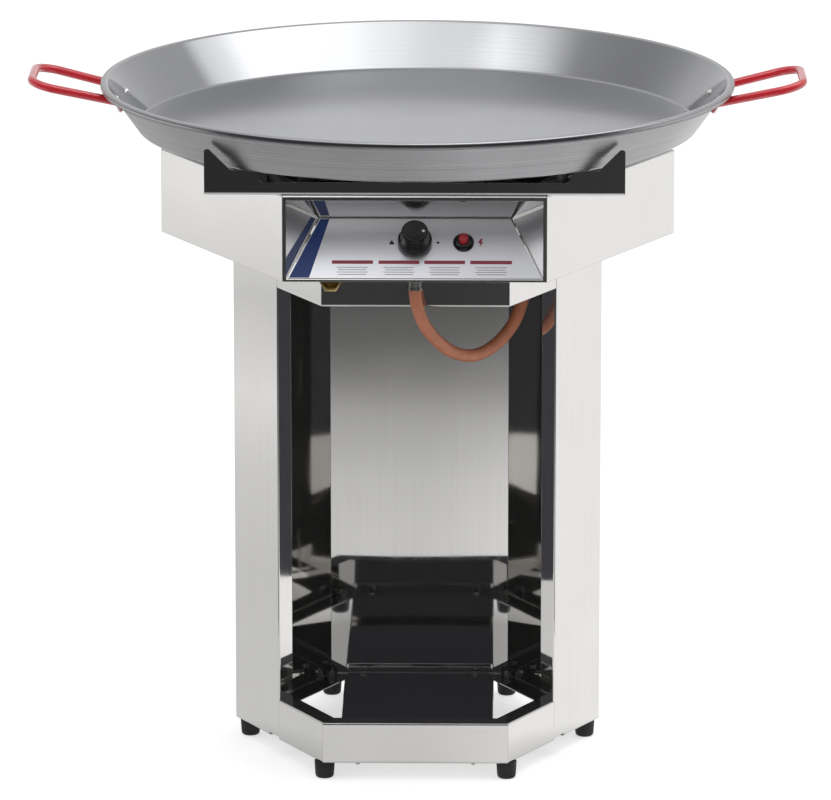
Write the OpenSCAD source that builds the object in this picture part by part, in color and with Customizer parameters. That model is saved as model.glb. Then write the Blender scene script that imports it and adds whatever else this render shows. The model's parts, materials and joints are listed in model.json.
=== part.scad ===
// Free-standing gas paella burner. A hexagonal column of folded sheet steel on rubber feet, open at the
// front for a gas bottle, carries a wider hexagonal burner housing with a recessed control console.
// Two horned supports hold a large round pan above a double ring burner.
// Millimetres. +Z is up, the front faces -Y, and the origin is on the floor under the column's middle.

/* [Column] */
// Side of the column's hexagon
col_side = 234; // [224:1:250]
// Height of the column's walls
col_h = 642; // [600:1:680]
// Thickness of the folded sheet
sheet_t = 1.2; // [1:0.1:1.5]
// Radius of a fold, at the middle of the sheet
fold_r = 2; // [1.5:0.1:2.5]
// Height of the skirt across the front of the foot
skirt_h = 53; // [44:1:70]
// Height of the rail across the front of the top
rail_h = 50; // [46:1:60]
// Width of the folded lips on the skirt and the rail
lip_w = 24; // [18:1:28]
// Width of the flanges along the bottom of the walls
floor_flange_w = 32; // [30:1:38]
// Width of the flanges along the top of the walls
top_flange_w = 18; // [16:1:22]
// Width of the folded edge of each upright beside the opening
upright_w = 20; // [14:1:26]
// Stretch of wall beside that edge that has no flanges
upright_relief = 26; // [24:1:34]

/* [Bottle tray] */
// Width of the tray
tray_w = 196; // [180:1:204]
// Depth of the tray's folded edges
tray_edge_h = 12; // [8:1:16]
// Distance of the tray screws from the middle
tray_screw_x = 73; // [50:1:85]
// Height of the tray's middle above its screwed ends
tray_step = 3; // [3:0.5:6]

/* [Feet] */
// Height of a rubber foot
foot_h = 22; // [18:1:30]
// Diameter of a foot at its top
foot_top_d = 26; // [22:1:28]
// Diameter of a foot at the floor
foot_floor_d = 23; // [18:1:26]
// Distance from a foot's middle to the walls
foot_wall = 16; // [14:1:18]
// Distance of the front and back feet from the corners, along the wall
foot_corner = 2; // [0:1:6]
// Diameter of a foot's stud
foot_stud_d = 8; // [6:1:8]

/* [Housing] */
// Side of the housing's hexagon
housing_side = 325; // [318:1:340]
// Height of the housing
housing_h = 108.5; // [104:0.5:120]
// Width of the folded lip along the top of the housing
housing_lip_w = 20; // [18:1:26]
// Height of the housing floor's upturned rim
floor_rim_h = 15; // [10:1:20]

/* [Console] */
// Depth and height of the sloping control panel
console_depth = 64; // [60:1:68]
// How far each side wall of the recess closes in over that depth
console_splay = 38; // [30:1:42]
// Width of the frame at each side of the recess
frame_side_w = 4.5; // [4:0.5:8]
// Width of the frame above the recess
frame_top_w = 6.5; // [6:0.5:8]
// Width of the frame below the recess
frame_floor_w = 2.5; // [2.5:0.5:4]
// Thickness of the control fascia
fascia_t = 1; // [0.8:0.1:1.5]
// Margin of the fascia inside the panel
fascia_margin = 2; // [1.5:0.5:4]

/* [Controls] */
// Distance of the knob and the button up the panel
control_v = 54; // [50:1:58]
// Distance of the igniter button from the knob
button_x = 60; // [54:1:70]
// Diameter of the knob's foot
knob_d = 42; // [38:1:46]
// Diameter of the knob's top
knob_top_d = 33; // [30:1:36]
// Height of the knob
knob_h = 23; // [21:1:28]
// How far the knob is pushed in to light the burner
knob_push = 4; // [3:0.5:5]
// Diameter of the valve spindle
spindle_d = 8; // [6:0.5:9]
// Diameter of the igniter's bezel at the fascia
bezel_d = 26; // [24:1:30]
// Height of the igniter's bezel
bezel_h = 6; // [4:0.5:8]
// Diameter of the igniter button
button_d = 12; // [10:0.5:13]
// How far the igniter button is pushed
button_push = 5; // [3:0.5:6]
// How far the button stands proud of its bezel
button_proud = 7.5; // [7:0.5:10]

/* [Pan supports] */
// Length of a support
support_len = 516; // [500:1:530]
// Thickness of a support's sheet
support_t = 2; // [1.5:0.1:3]
// Height of the pan seats above the housing
seat_h = 31.5; // [28:0.5:36]
// Distance of the seats' inner ends from the middle
seat_in = 196; // [190:1:198]
// Distance of the seats' outer ends from the support's ends
seat_out = 32; // [30:1:36]
// Least length of a seat
seat_len = 30; // [20:1:30]
// Height of a support between its seats
waist_h = 16; // [12:0.5:20]
// Height of the horns at a support's ends
horn_h = 57.5; // [50:0.5:60]
// Width of a support's foot flange
support_flange_w = 20; // [18:1:24]

/* [Pan] */
// Diameter of the pan over its lip
pan_d = 800; // [790:1:810]
// Diameter of the pan's flat floor, to the corner
pan_floor_d = 704; // [700:1:710]
// Height of the pan
pan_h = 58.5; // [52:0.5:62]
// Thickness of the pan's sheet
pan_t = 2; // [1.5:0.1:2.5]
// Radius of the bend round the floor
pan_bend_r = 10; // [6:1:14]
// Width of the lip
pan_lip_w = 8; // [7:0.5:10]
// Depth of the lip's rolled edge
pan_roll_h = 9; // [8:0.5:10]
// How far the rolled edge turns back in
pan_curl_w = 4; // [3.5:0.5:5]

/* [Handles] */
// Diameter of the handle rod
handle_d = 11; // [8:0.5:12]
// Reach of a handle past the lip, to the middle of the rod
handle_reach = 87; // [80:1:105]
// Distance between a handle's arms at the lip
handle_root_w = 104; // [96:1:112]
// Distance between a handle's arms at the outer end
handle_tip_w = 128; // [120:1:136]
// Angle at which a handle rises
handle_rise = 13; // [8:1:16]
// Radius of a handle's outer corners
handle_corner_r = 28; // [20:1:32]
// Diameter of the handle rivets
rivet_d = 6; // [5:0.5:7]

/* [Burner] */
// Radius of the outer burner ring, to the middle of its tube
outer_ring_r = 180; // [170:1:184]
// Radius of the inner burner ring, to the middle of its tube
inner_ring_r = 90; // [80:1:100]
// Diameter of the burner rings' tube
ring_tube_d = 22; // [18:1:24]
// Height of the rings' middle above the housing's bottom
ring_h = 74; // [70:1:80]
// Diameter of a flame port
port_d = 3; // [2:0.5:4]
// Diameter of the burner hub
hub_d = 60; // [54:1:70]
// Diameter of the feed arms
arm_d = 16; // [12:1:18]
// Thickness of the bar that carries the burner
bracket_t = 3; // [2:0.5:5]
// Width of the bar that carries the burner
bracket_w = 30; // [24:1:40]
// Length of the bar that carries the burner
bracket_len = 474; // [460:1:490]
// Distance of the gas jet's middle from the burner's middle
jet_r = 152.5; // [150:0.5:155]
// Angle of the line from the burner's middle to the gas jet
jet_angle = 26; // [24:1:28]
// Height of the mixing tube's middle above the housing's bottom
mixer_h = 31; // [29:1:34]

/* [Gas line] */
// Size of the inlet's hexagon, across its flats
inlet_flats = 24; // [23:0.5:25]
// Bore of the inlet
inlet_bore_d = 18.6; // [16:0.1:19]
// Depth of the inlet's bore
inlet_bore_depth = 13; // [10:1:14]
// How far the inlet stands in front of the rail
inlet_proud = 14; // [10:1:16]
// Diameter of the inlet pipe
pipe_d = 10; // [8:0.5:11]
// Radius of the inlet pipe's bends
pipe_bend_r = 11; // [10:1:12]
// Outer diameter of the gas hose
hose_d = 16; // [14:0.5:17]

/* [Hidden] */
$fn = 96;

BACK_RIGHT = 0;
BACK = 1;
BACK_LEFT = 2;
FRONT_LEFT = 3;
FRONT = 4;
FRONT_RIGHT = 5;

steel = "silver";
dark_steel = "dimgray";
pan_steel = "gainsboro";
brass = "goldenrod";
black = "#202020";
red = "firebrick";

// Clearance between fixed pieces that slip into each other
fit = 0.2;
// Clearance round a screw's or a rivet's shank
hole_fit = 0.2;
// Running clearance of the spindle
run_fit = 0.05;
// Clearance round the igniter button
button_fit = 0.3;

// Levels
z_column = foot_h + col_h;
z_housing = z_column + housing_h;
z_pan = z_housing + seat_h;
z_floor_top = z_column + sheet_t;
z_tray = foot_h + sheet_t;
z_ring = z_column + ring_h;
z_mixer = z_column + mixer_h;

// Distances of the walls from the middle
col_a = col_side * cos(30);
housing_a = housing_side * cos(30);
front_y = -housing_a;

// Feet
foot_line = col_a - foot_wall;
foot_side_x = foot_line / cos(30);
foot_corner_x = col_side / 2 - foot_corner;
FEET = [
    ["foot_front_left", [-foot_corner_x, -foot_line]],
    ["foot_front_right", [foot_corner_x, -foot_line]],
    ["foot_left", [-foot_side_x, 0]],
    ["foot_right", [foot_side_x, 0]],
    ["foot_back_left", [-foot_corner_x, foot_line]],
    ["foot_back_right", [foot_corner_x, foot_line]]
];
stud_depth = 12;
stud_nut_h = 6;

// Console recess
recess_w = housing_side / 2 - frame_side_w;
recess_floor = z_column + frame_floor_w;
recess_top = z_housing - frame_top_w;
panel_len = console_depth * sqrt(2);
splay_angle = atan(console_splay / console_depth);

// Gas valve, square to the control panel
valve_w = 30;
valve_depth = 34;
valve_neck_d = 14;
valve_nut_h = 3;
valve_floor_gap = 2;
valve_mid_n = -sheet_t - valve_depth / 2;
valve_y = front_y + (control_v - valve_mid_n) * cos(45);
valve_z = recess_floor + (control_v + valve_mid_n) * sin(45);
valve_boss_d = 18;
spindle_in = 20;
knob_foot_n = fascia_t + knob_push + 1;
knob_bore = 15;

// Igniter
igniter_d = 18;
igniter_neck_d = 16;
igniter_depth = 36;
button_in = 6;

// Ignition pieces beside the outer ring
bracket_sheet = 1.5;
ignition_gap = 14;
ignition_y = -(outer_ring_r + ring_tube_d / 2 + ignition_gap);
electrode_d = 7;
probe_d = 5;
probe_gap = 24;
probe_x = button_x + probe_gap;
electrode_y = ignition_y + bracket_sheet + electrode_d / 2;
probe_y = ignition_y + bracket_sheet + probe_d / 2;
electrode_lift = 26;
electrode_foot = z_column + electrode_lift;
electrode_len = 44;
electrode_taper = 6;
lead_d = 3;
capillary_d = 2.5;
lead_bend_r = 5;
lead_sides = 8;
lead_lift = 10;
lead_z = z_column + lead_lift;

// Inlet, through the front rail beside its left corner
inlet_corner = 12;
inlet_drop = 15;
inlet_x = -(col_side / 2 - inlet_corner);
inlet_z = z_column - inlet_drop;
inlet_neck_d = 17;
inlet_neck_len = 14;
inlet_nut_h = 6;
inlet_nut_flats = 21.5;

// Hose fittings
outlet_d = 12;
outlet_nut_h = 9;
outlet_flats = 17;
ferrule_h = 12;
ferrule_t = 1.2;
hose_top = z_column - outlet_nut_h;

// Mixing tube and jet
mixer_mouth_r = 18.8;
mixer_r = 12;
mixer_gap = 14;
jet_body_d = 18;
jet_foot = 632;
jet_strap = 2;

// Handles and rivets, on the pan's wall
wall_run_r = pan_d / 2 - pan_lip_w - pan_floor_d / 2;
wall_rise = pan_h - pan_t;
wall_lean = atan(wall_run_r / wall_rise);
pan_lip_bend_r = 2.8;
lip_gap = 0.8;
handle_z = pan_h - pan_roll_h - handle_d / 2 - lip_gap;
handle_flare = (handle_tip_w - handle_root_w) / 2 / handle_reach;
handle_sides = 16;
rod_past_wall = 13;
// Distance along a rod's line from the lip to the pan's wall
wall_reach = (pan_d / 2 - pan_wall_r(handle_z, 0))
    / (cos(handle_rise) - wall_run_r / wall_rise * sin(handle_rise));
rivet_drop = 8;
rivet_z = handle_z - wall_reach * sin(handle_rise) - rivet_drop;
rivet_y = handle_root_w / 2 - wall_reach * handle_flare;
tab_t = 4;
tab_fit = 0.3;
tab_w = 16;
tab_past_rod = 6;
tab_up = rivet_drop / cos(wall_lean) + tab_past_rod;
tab_down = 4;

// The hose leaves the valve's outlet, hangs in a loop and rises to the jet holder
HOSE_ROUTE = [
    [0, -230, 655], [0, -230, 641], [1.5, -228, 626], [5, -224.5, 612], [9.5, -218.5, 598.5],
    [16, -211, 586], [23.5, -202, 574.5], [32, -191.5, 564], [41, -181, 554.5], [51, -169, 547],
    [62, -156.5, 541.5], [72.5, -143.5, 538.5], [83.5, -130.5, 539], [94.5, -117.5, 542.5],
    [105, -105, 548.5], [114.5, -93.5, 557], [123, -84, 568], [129.5, -76, 581.5], [134.2, -70.6, 596],
    [136.4, -67.8, 608.5], [137, -67, 620], [137, -67, 632]
];
HOSE_SIDE = [0.766, -0.643, 0];
hose_sides = 12;

// Vectors
function unit(v) = v / norm(v);
function turn_left(v) = [-v.y, v.x];
function turned(v, angle) = [v.x * cos(angle) - v.y * sin(angle), v.x * sin(angle) + v.y * cos(angle)];

// Points, with their left-hand normals, round the corner b of the line a-b-c
function bend(a, b, c, r, steps = 6) =
    let (
        along = unit(b - a),
        next = unit(c - b),
        turn = atan2(along.x * next.y - along.y * next.x, along * next),
        side = turn_left(along),
        centre = b - along * r * tan(abs(turn) / 2) + side * r * sign(turn)
    )
    [for (i = [0:steps]) let (normal = turned(side, turn * i / steps)) [centre - normal * r * sign(turn), normal]];

// Middle line of a bent sheet, with its corners rounded
function bent_line(path, radii) =
    let (last = len(path) - 1)
    concat(
        [[path[0], turn_left(unit(path[1] - path[0]))]],
        [for (i = [1:last - 1]) each bend(path[i - 1], path[i], path[i + 1], radii[i - 1])],
        [[path[last], turn_left(unit(path[last] - path[last - 1]))]]
    );

// Closed outline of a sheet of thickness t bent along a path
function sheet_outline(path, t, radii) =
    let (line = bent_line(path, radii))
    concat(
        [for (p = line) p[0] + p[1] * t / 2],
        [for (i = [len(line) - 1:-1:0]) line[i][0] - line[i][1] * t / 2]
    );

// Closed outline with each corner rounded to its own radius, or left sharp at 0
function rounded_outline(points, radii) =
    let (count = len(points))
    [for (i = [0:count - 1]) each radii[i] == 0
        ? [points[i]]
        : [for (p = bend(points[(i + count - 1) % count], points[i], points[(i + 1) % count], radii[i])) p[0]]];

// Section of a wall with a flange folded inwards at its bottom and its top
function channel(wall, low, high, low_w, high_w) =
    sheet_outline(
        [
            [wall - low_w, low + sheet_t / 2], [wall - sheet_t / 2, low + sheet_t / 2],
            [wall - sheet_t / 2, high - sheet_t / 2], [wall - high_w, high - sheet_t / 2]
        ],
        sheet_t, [fold_r, fold_r]
    );

// A folded section run along one wall of a hexagon, mitred at the corners
module wall_run(wall, from, to, outline) {
    reach = 2 * housing_side;
    rotate([0, 0, 30 + 60 * wall])
        intersection() {
            translate([0, to, 0]) rotate([90, 0, 0]) linear_extrude(to - from) polygon(outline);
            linear_extrude(2 * z_housing)
                polygon([[0, 0], [reach, -reach * tan(30)], [reach, reach * tan(30)]]);
        }
}

// A place on the control panel: x across, v up the slope, local Z outwards
module on_panel(x, v) {
    translate([x, front_y + v * cos(45), recess_floor + v * sin(45)]) rotate([45, 0, 0]) children();
}

// A hexagonal prism, by the size across its flats
module hexagon(flats, h) {
    cylinder(d = flats / cos(30), h = h, $fn = 6);
}

// Screw with a low domed head, its shank pointing down from z = 0
module screw(d, length) {
    head_r = d * 0.95;
    head_h = d * 0.55;
    rotate_extrude()
        polygon([
            [0, -length], [d / 2, -length], [d / 2, 0], [head_r, 0], [head_r, head_h * 0.4],
            [head_r * 0.75, head_h * 0.85], [0, head_h]
        ]);
}

// Round rod along straight stretches joined by bends of radius r
function corner_turn(a, b, c) = acos(unit(b - a) * unit(c - b));
function corner_cut(a, b, c, r) = r * tan(corner_turn(a, b, c) / 2);

module rod_between(a, b, d) {
    way = b - a;
    translate(a) rotate([0, acos(way.z / norm(way)), atan2(way.y, way.x)]) cylinder(d = d, h = norm(way));
}

module rod_bend(a, b, c, d, r) {
    along = unit(b - a);
    normal = unit(cross(along, unit(c - b)));
    inward = cross(normal, along);
    centre = b - along * corner_cut(a, b, c, r) + inward * r;
    multmatrix([
        [-inward.x, along.x, normal.x, centre.x],
        [-inward.y, along.y, normal.y, centre.y],
        [-inward.z, along.z, normal.z, centre.z],
        [0, 0, 0, 1]
    ])
        rotate_extrude(angle = corner_turn(a, b, c)) translate([r, 0]) circle(d = d);
}

module bent_rod(points, d, r) {
    last = len(points) - 1;
    for (i = [0:last - 1]) {
        along = unit(points[i + 1] - points[i]);
        lead_in = i == 0 ? 0 : corner_cut(points[i - 1], points[i], points[i + 1], r);
        lead_out = i == last - 1 ? 0 : corner_cut(points[i], points[i + 1], points[i + 2], r);
        rod_between(points[i] + along * lead_in, points[i + 1] - along * lead_out, d);
    }
    for (i = [1:last - 1])
        rod_bend(points[i - 1], points[i], points[i + 1], d, r);
}

// A route with each inner corner rounded to radius r
function rounded_corner(a, b, c, r, steps = 4) =
    let (
        along = unit(b - a),
        turn = corner_turn(a, b, c),
        inward = cross(unit(cross(along, unit(c - b))), along),
        centre = b - along * corner_cut(a, b, c, r) + inward * r
    )
    [for (i = [0:steps]) centre - inward * r * cos(turn * i / steps) + along * r * sin(turn * i / steps)];

function rounded_route(points, r) =
    let (last = len(points) - 1)
    concat(
        [points[0]],
        [for (i = [1:last - 1]) each rounded_corner(points[i - 1], points[i], points[i + 1], r)],
        [points[last]]
    );

// Tube swept along a route; reference is a direction that the route never takes
module swept_tube(route, d, sides, reference) {
    last = len(route) - 1;
    points = [
        for (i = [0:last])
            let (
                along = unit(route[min(i + 1, last)] - route[max(i - 1, 0)]),
                side = unit(reference - along * (reference * along)),
                other = cross(along, side)
            )
            for (k = [0:sides - 1])
                let (angle = 360 * k / sides)
                route[i] + (side * cos(angle) + other * sin(angle)) * d / 2
    ];
    skin = [
        for (i = [0:last - 1], k = [0:sides - 1])
            let (a = i * sides + k, b = i * sides + (k + 1) % sides)
            each [[a, a + sides, b + sides], [a, b + sides, b]]
    ];
    ends = [[for (k = [0:sides - 1]) k], [for (k = [sides - 1:-1:0]) last * sides + k]];
    polyhedron(points, concat(ends, skin));
}

// Column

module stud_hole(place) {
    translate([place.x, place.y, foot_h - 1]) cylinder(d = foot_stud_d + 2 * hole_fit, h = sheet_t + 2);
}

module tray_screw_places(ends) {
    for (x = [-tray_screw_x, tray_screw_x])
        for (end = ends)
            translate([x, end * (col_a - floor_flange_w / 2), z_tray]) children();
}

tray_screw_d = 5;
tray_screw_len = 8;

module tray_screw_holes(ends) {
    tray_screw_places(ends)
        translate([0, 0, -tray_screw_len]) cylinder(d = tray_screw_d + 2 * hole_fit, h = 2 * tray_screw_len);
}

// Screws that hold the housing floor down on the column: wall, and distance from the wall's middle
housing_screw_x = 60;
HOUSING_SCREWS = [
    [BACK, -housing_screw_x], [BACK, housing_screw_x], [BACK_LEFT, 0], [BACK_RIGHT, 0],
    [FRONT_LEFT, -housing_screw_x], [FRONT_RIGHT, housing_screw_x],
    [FRONT, -housing_screw_x], [FRONT, housing_screw_x]
];
housing_screw_d = 5;
housing_screw_len = 8;

module housing_screw_places() {
    for (place = HOUSING_SCREWS)
        rotate([0, 0, 30 + 60 * place[0]])
            translate([col_a - top_flange_w / 2, place[1], z_floor_top]) children();
}

module housing_screw_holes() {
    housing_screw_places()
        translate([0, 0, -housing_screw_len])
            cylinder(d = housing_screw_d + 2 * hole_fit, h = 2 * housing_screw_len);
}

wall_outline = channel(col_a, foot_h, z_column, floor_flange_w, top_flange_w);

module side_panel_sheet() {
    upright = sheet_outline(
        [
            [col_a - upright_w, -sheet_t / 2], [col_a - sheet_t / 2, -sheet_t / 2],
            [col_a - sheet_t / 2, -upright_relief - floor_flange_w]
        ],
        sheet_t, [fold_r]
    );
    wall_run(BACK_LEFT, -col_side, col_side, wall_outline);
    wall_run(FRONT_LEFT, -col_side, -upright_relief, wall_outline);
    rotate([0, 0, 30 + 60 * FRONT_LEFT])
        translate([0, 0, foot_h + 2 * fold_r])
            linear_extrude(col_h - 4 * fold_r)
                polygon(upright);
}

module left_side_panel() {
    color(steel)
        difference() {
            side_panel_sheet();
            stud_hole(FEET[2][1]);
            stud_hole(FEET[4][1]);
            housing_screw_holes();
            bracket_bolt_holes();
        }
}

module right_side_panel() {
    mirror([1, 0, 0]) left_side_panel();
}

module back_panel() {
    color(steel)
        difference() {
            wall_run(BACK, -col_side, col_side, wall_outline);
            tray_screw_holes([1]);
            housing_screw_holes();
        }
}

// A channel across the front wall and half of each neighbouring wall
module front_channel(outline) {
    wall_run(FRONT_LEFT, 0, col_side, outline);
    wall_run(FRONT, -col_side, col_side, outline);
    wall_run(FRONT_RIGHT, -col_side, 0, outline);
}

module front_skirt() {
    color(steel)
        difference() {
            front_channel(channel(col_a, foot_h, foot_h + skirt_h, floor_flange_w, lip_w));
            stud_hole(FEET[0][1]);
            stud_hole(FEET[1][1]);
            tray_screw_holes([-1]);
        }
}

module front_rail() {
    color(steel)
        difference() {
            front_channel(channel(col_a, z_column - rail_h, z_column, lip_w, top_flange_w));
            housing_screw_holes();
            translate([inlet_x, -col_a + 2 * sheet_t, inlet_z])
                rotate([90, 0, 0])
                    cylinder(d = inlet_neck_d + 2 * hole_fit, h = 4 * sheet_t);
        }
}

module bottle_tray() {
    half = tray_w / 2;
    end_z = z_tray + sheet_t / 2;
    mid_z = end_z + tray_step;
    end_y = col_a - sheet_t - fold_r - 1;
    step_y = col_a - floor_flange_w + tray_step;
    edge_len = 2 * (col_a - floor_flange_w - 2);
    stepped = sheet_outline(
        [
            [-end_y, end_z], [-step_y, end_z], [tray_step - step_y, mid_z],
            [step_y - tray_step, mid_z], [step_y, end_z], [end_y, end_z]
        ],
        sheet_t, [fold_r, fold_r, fold_r, fold_r]
    );
    folded = sheet_outline(
        [
            [-half + sheet_t / 2, mid_z - tray_edge_h], [-half + sheet_t / 2, mid_z],
            [half - sheet_t / 2, mid_z], [half - sheet_t / 2, mid_z - tray_edge_h]
        ],
        sheet_t, [fold_r, fold_r]
    );
    color(steel)
        difference() {
            union() {
                translate([0, edge_len / 2, 0]) rotate([90, 0, 0]) linear_extrude(edge_len) polygon(folded);
                translate([-half + 2 * fold_r, 0, 0])
                    rotate([90, 0, 90]) linear_extrude(tray_w - 4 * fold_r) polygon(stepped);
            }
            tray_screw_holes([-1, 1]);
        }
}

module tray_screws() {
    color(dark_steel)
        tray_screw_places([-1, 1]) translate([0, 0, sheet_t]) screw(tray_screw_d, tray_screw_len);
}

module rubber_foot(place) {
    chamfer = 2;
    color(black)
        translate([place.x, place.y, 0])
            difference() {
                rotate_extrude()
                    polygon([
                        [0, 0], [foot_floor_d / 2 - chamfer, 0], [foot_floor_d / 2, chamfer],
                        [foot_top_d / 2, foot_h], [0, foot_h]
                    ]);
                translate([0, 0, foot_h - stud_depth])
                    cylinder(d = foot_stud_d + 2 * hole_fit, h = stud_depth + 1);
            }
}

module foot_studs() {
    tip = 2;
    color(dark_steel)
        for (foot = FEET)
            translate([foot[1].x, foot[1].y, foot_h - stud_depth]) {
                cylinder(d = foot_stud_d, h = stud_depth + sheet_t + stud_nut_h + tip);
                translate([0, 0, stud_depth + sheet_t]) hexagon(foot_stud_d * 1.5, stud_nut_h);
            }
}

// Housing

housing_outline = sheet_outline(
    [
        [housing_a - sheet_t / 2, z_column], [housing_a - sheet_t / 2, z_housing - sheet_t / 2],
        [housing_a - housing_lip_w, z_housing - sheet_t / 2]
    ],
    sheet_t, [fold_r]
);

support_screw_d = 5;
support_screw_len = 8;
support_screw_x = 120;

module support_screw_places(side) {
    for (x = [-support_screw_x, 0, support_screw_x])
        translate([x, side * (housing_a - housing_lip_w / 2 - fold_r), z_housing]) children();
}

module support_screw_holes(side) {
    support_screw_places(side)
        translate([0, 0, -support_screw_len])
            cylinder(d = support_screw_d + 2 * hole_fit, h = 2 * support_screw_len);
}

module housing_shell() {
    color(steel)
        difference() {
            union() {
                for (wall = [BACK_RIGHT, BACK, BACK_LEFT, FRONT_LEFT, FRONT_RIGHT])
                    wall_run(wall, -housing_side, housing_side, housing_outline);
            }
            support_screw_holes(1);
        }
}

module housing_floor() {
    rim = housing_a - sheet_t - fit;
    rim_outline = sheet_outline(
        [
            [rim - floor_rim_h, z_column + sheet_t / 2], [rim - sheet_t / 2, z_column + sheet_t / 2],
            [rim - sheet_t / 2, z_column + floor_rim_h]
        ],
        sheet_t, [fold_r]
    );
    color(steel)
        difference() {
            union() {
                translate([0, 0, z_column])
                    linear_extrude(sheet_t)
                        difference() {
                            circle(r = (rim - 2 * fold_r) / cos(30), $fn = 6);
                            circle(r = (col_a - top_flange_w) / cos(30), $fn = 6);
                        }
                for (wall = [BACK_RIGHT, BACK, BACK_LEFT, FRONT_LEFT, FRONT_RIGHT])
                    wall_run(wall, -housing_side, housing_side, rim_outline);
            }
            housing_screw_holes();
            bracket_bolt_holes();
            translate([0, valve_y, z_column - 1]) cylinder(d = outlet_d + 1, h = sheet_t + 2);
        }
}

module housing_screws() {
    color(dark_steel) housing_screw_places() screw(housing_screw_d, housing_screw_len);
}

// The recess is a right-angled notch across the front, closed by two splayed side walls.
// grow thickens it to the outside of the sheet.
module recess_body(grow) {
    lift = grow * sqrt(2);
    past = grow == 0 ? 1 : 0;
    apex_y = front_y + console_depth + lift;
    apex_z = recess_floor + console_depth;
    ceiling = recess_top + grow;
    ceiling_y = front_y + 2 * console_depth + recess_floor + lift - ceiling;
    side_w = recess_w + grow / cos(splay_angle);
    side_len = console_depth + 10;
    intersection() {
        translate([-housing_side / 2, 0, 0])
            rotate([90, 0, 90])
                linear_extrude(housing_side)
                    polygon([
                        [front_y - past, recess_floor - lift - past], [apex_y, apex_z],
                        [ceiling_y, ceiling], [front_y - past, ceiling]
                    ]);
        linear_extrude(2 * z_housing)
            polygon([
                for (side = [-1, 1], end = [-side, side])
                    let (depth = end < 0 ? -past : side_len)
                    [side * (side_w - depth * tan(splay_angle)), front_y + depth]
            ]);
    }
}

module console_shell() {
    color(steel)
        difference() {
            union() {
                wall_run(FRONT, -housing_side, housing_side, housing_outline);
                intersection() {
                    recess_body(sheet_t);
                    translate([-housing_side, front_y, z_column]) cube([2 * housing_side, housing_a, housing_h]);
                }
            }
            recess_body(0);
            support_screw_holes(-1);
            on_panel(0, control_v)
                translate([0, 0, -5]) cylinder(d = valve_neck_d + 2 * fit, h = 10);
            on_panel(button_x, control_v)
                translate([0, 0, -5]) cylinder(d = igniter_neck_d + 2 * fit, h = 10);
        }
}

module control_fascia() {
    foot_w = recess_w - fascia_margin;
    head_w = recess_w - console_splay - fascia_margin;
    color("whitesmoke")
        difference() {
            on_panel(0, 0)
                linear_extrude(fascia_t)
                    polygon([
                        [-foot_w, fascia_margin], [foot_w, fascia_margin],
                        [head_w, panel_len - fascia_margin], [-head_w, panel_len - fascia_margin]
                    ]);
            on_panel(0, control_v)
                translate([0, 0, -1]) cylinder(d = valve_neck_d + 2 * fit, h = fascia_t + 2);
            on_panel(button_x, control_v)
                translate([0, 0, -1]) cylinder(d = igniter_neck_d + 2 * fit, h = fascia_t + 2);
        }
}

// Pan supports: a folded bar whose upright leaf has a seat and a horn at each end

module front_pan_support() {
    half = support_len / 2;
    outer = half - seat_out;
    inner = min(seat_in, outer - seat_len);
    horn_in = outer + horn_h - seat_h;
    tip_r = (half - horn_in) / 2;
    drop = seat_h - waist_h;
    leaf = rounded_outline(
        [
            [half, 0], [half, horn_h], [horn_in, horn_h], [outer, seat_h], [inner, seat_h],
            [inner - drop / 2, waist_h], [-inner + drop / 2, waist_h], [-inner, seat_h],
            [-outer, seat_h], [-horn_in, horn_h], [-half, horn_h], [-half, 0]
        ],
        [0, tip_r, tip_r, 3, 4, 6, 6, 4, 3, tip_r, tip_r, 0]
    );
    section = sheet_outline(
        [
            [front_y + support_t / 2, horn_h + 1], [front_y + support_t / 2, support_t / 2],
            [front_y + support_flange_w, support_t / 2]
        ],
        support_t, [fold_r + support_t / 2]
    );
    color(dark_steel)
        difference() {
            translate([0, 0, z_housing])
                intersection() {
                    translate([-half, 0, 0]) rotate([90, 0, 90]) linear_extrude(support_len) polygon(section);
                    translate([0, front_y + support_flange_w + 1, 0])
                        rotate([90, 0, 0])
                            linear_extrude(support_flange_w + 2)
                                polygon(leaf);
                }
            support_screw_holes(-1);
        }
}

module back_pan_support() {
    mirror([0, 1, 0]) front_pan_support();
}

module support_screws() {
    color(dark_steel)
        for (side = [-1, 1])
            support_screw_places(side) translate([0, 0, support_t]) screw(support_screw_d, support_screw_len);
}

// Burner

module ring_body(r, d) {
    translate([0, 0, z_ring]) rotate_extrude() translate([r, 0]) circle(d = d);
}

// A ring of tube, with flame ports along a narrow flat on its crown
module burner_ring(r, ports) {
    port_depth = 6;
    crown_cut = 0.8;
    crown = ring_tube_d / 2 - crown_cut;
    color(dark_steel)
        difference() {
            translate([0, 0, z_ring])
                rotate_extrude()
                    translate([r, 0])
                        difference() {
                            circle(d = ring_tube_d);
                            translate([-ring_tube_d / 2, crown]) square([ring_tube_d, crown_cut + 1]);
                        }
            for (i = [0:ports - 1])
                rotate([0, 0, (i + 0.5) * 360 / ports])
                    translate([r, 0, z_ring + crown - port_depth])
                        cylinder(d = port_d, h = port_depth + 1);
        }
}

module outer_burner_ring() {
    burner_ring(outer_ring_r, 36);
}

module inner_burner_ring() {
    burner_ring(inner_ring_r, 18);
}

module feed_arms() {
    color(dark_steel)
        difference() {
            for (angle = [90, 210, 330])
                rotate([0, 0, angle])
                    translate([hub_d / 2 - 4, 0, z_ring])
                        rotate([0, 90, 0])
                            cylinder(d = arm_d, h = outer_ring_r - hub_d / 2);
            ring_body(inner_ring_r, ring_tube_d + 2 * fit);
            ring_body(outer_ring_r, ring_tube_d + 2 * fit);
            translate([0, 0, z_floor_top]) cylinder(d = hub_d + 2 * fit, h = housing_h);
        }
}

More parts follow.
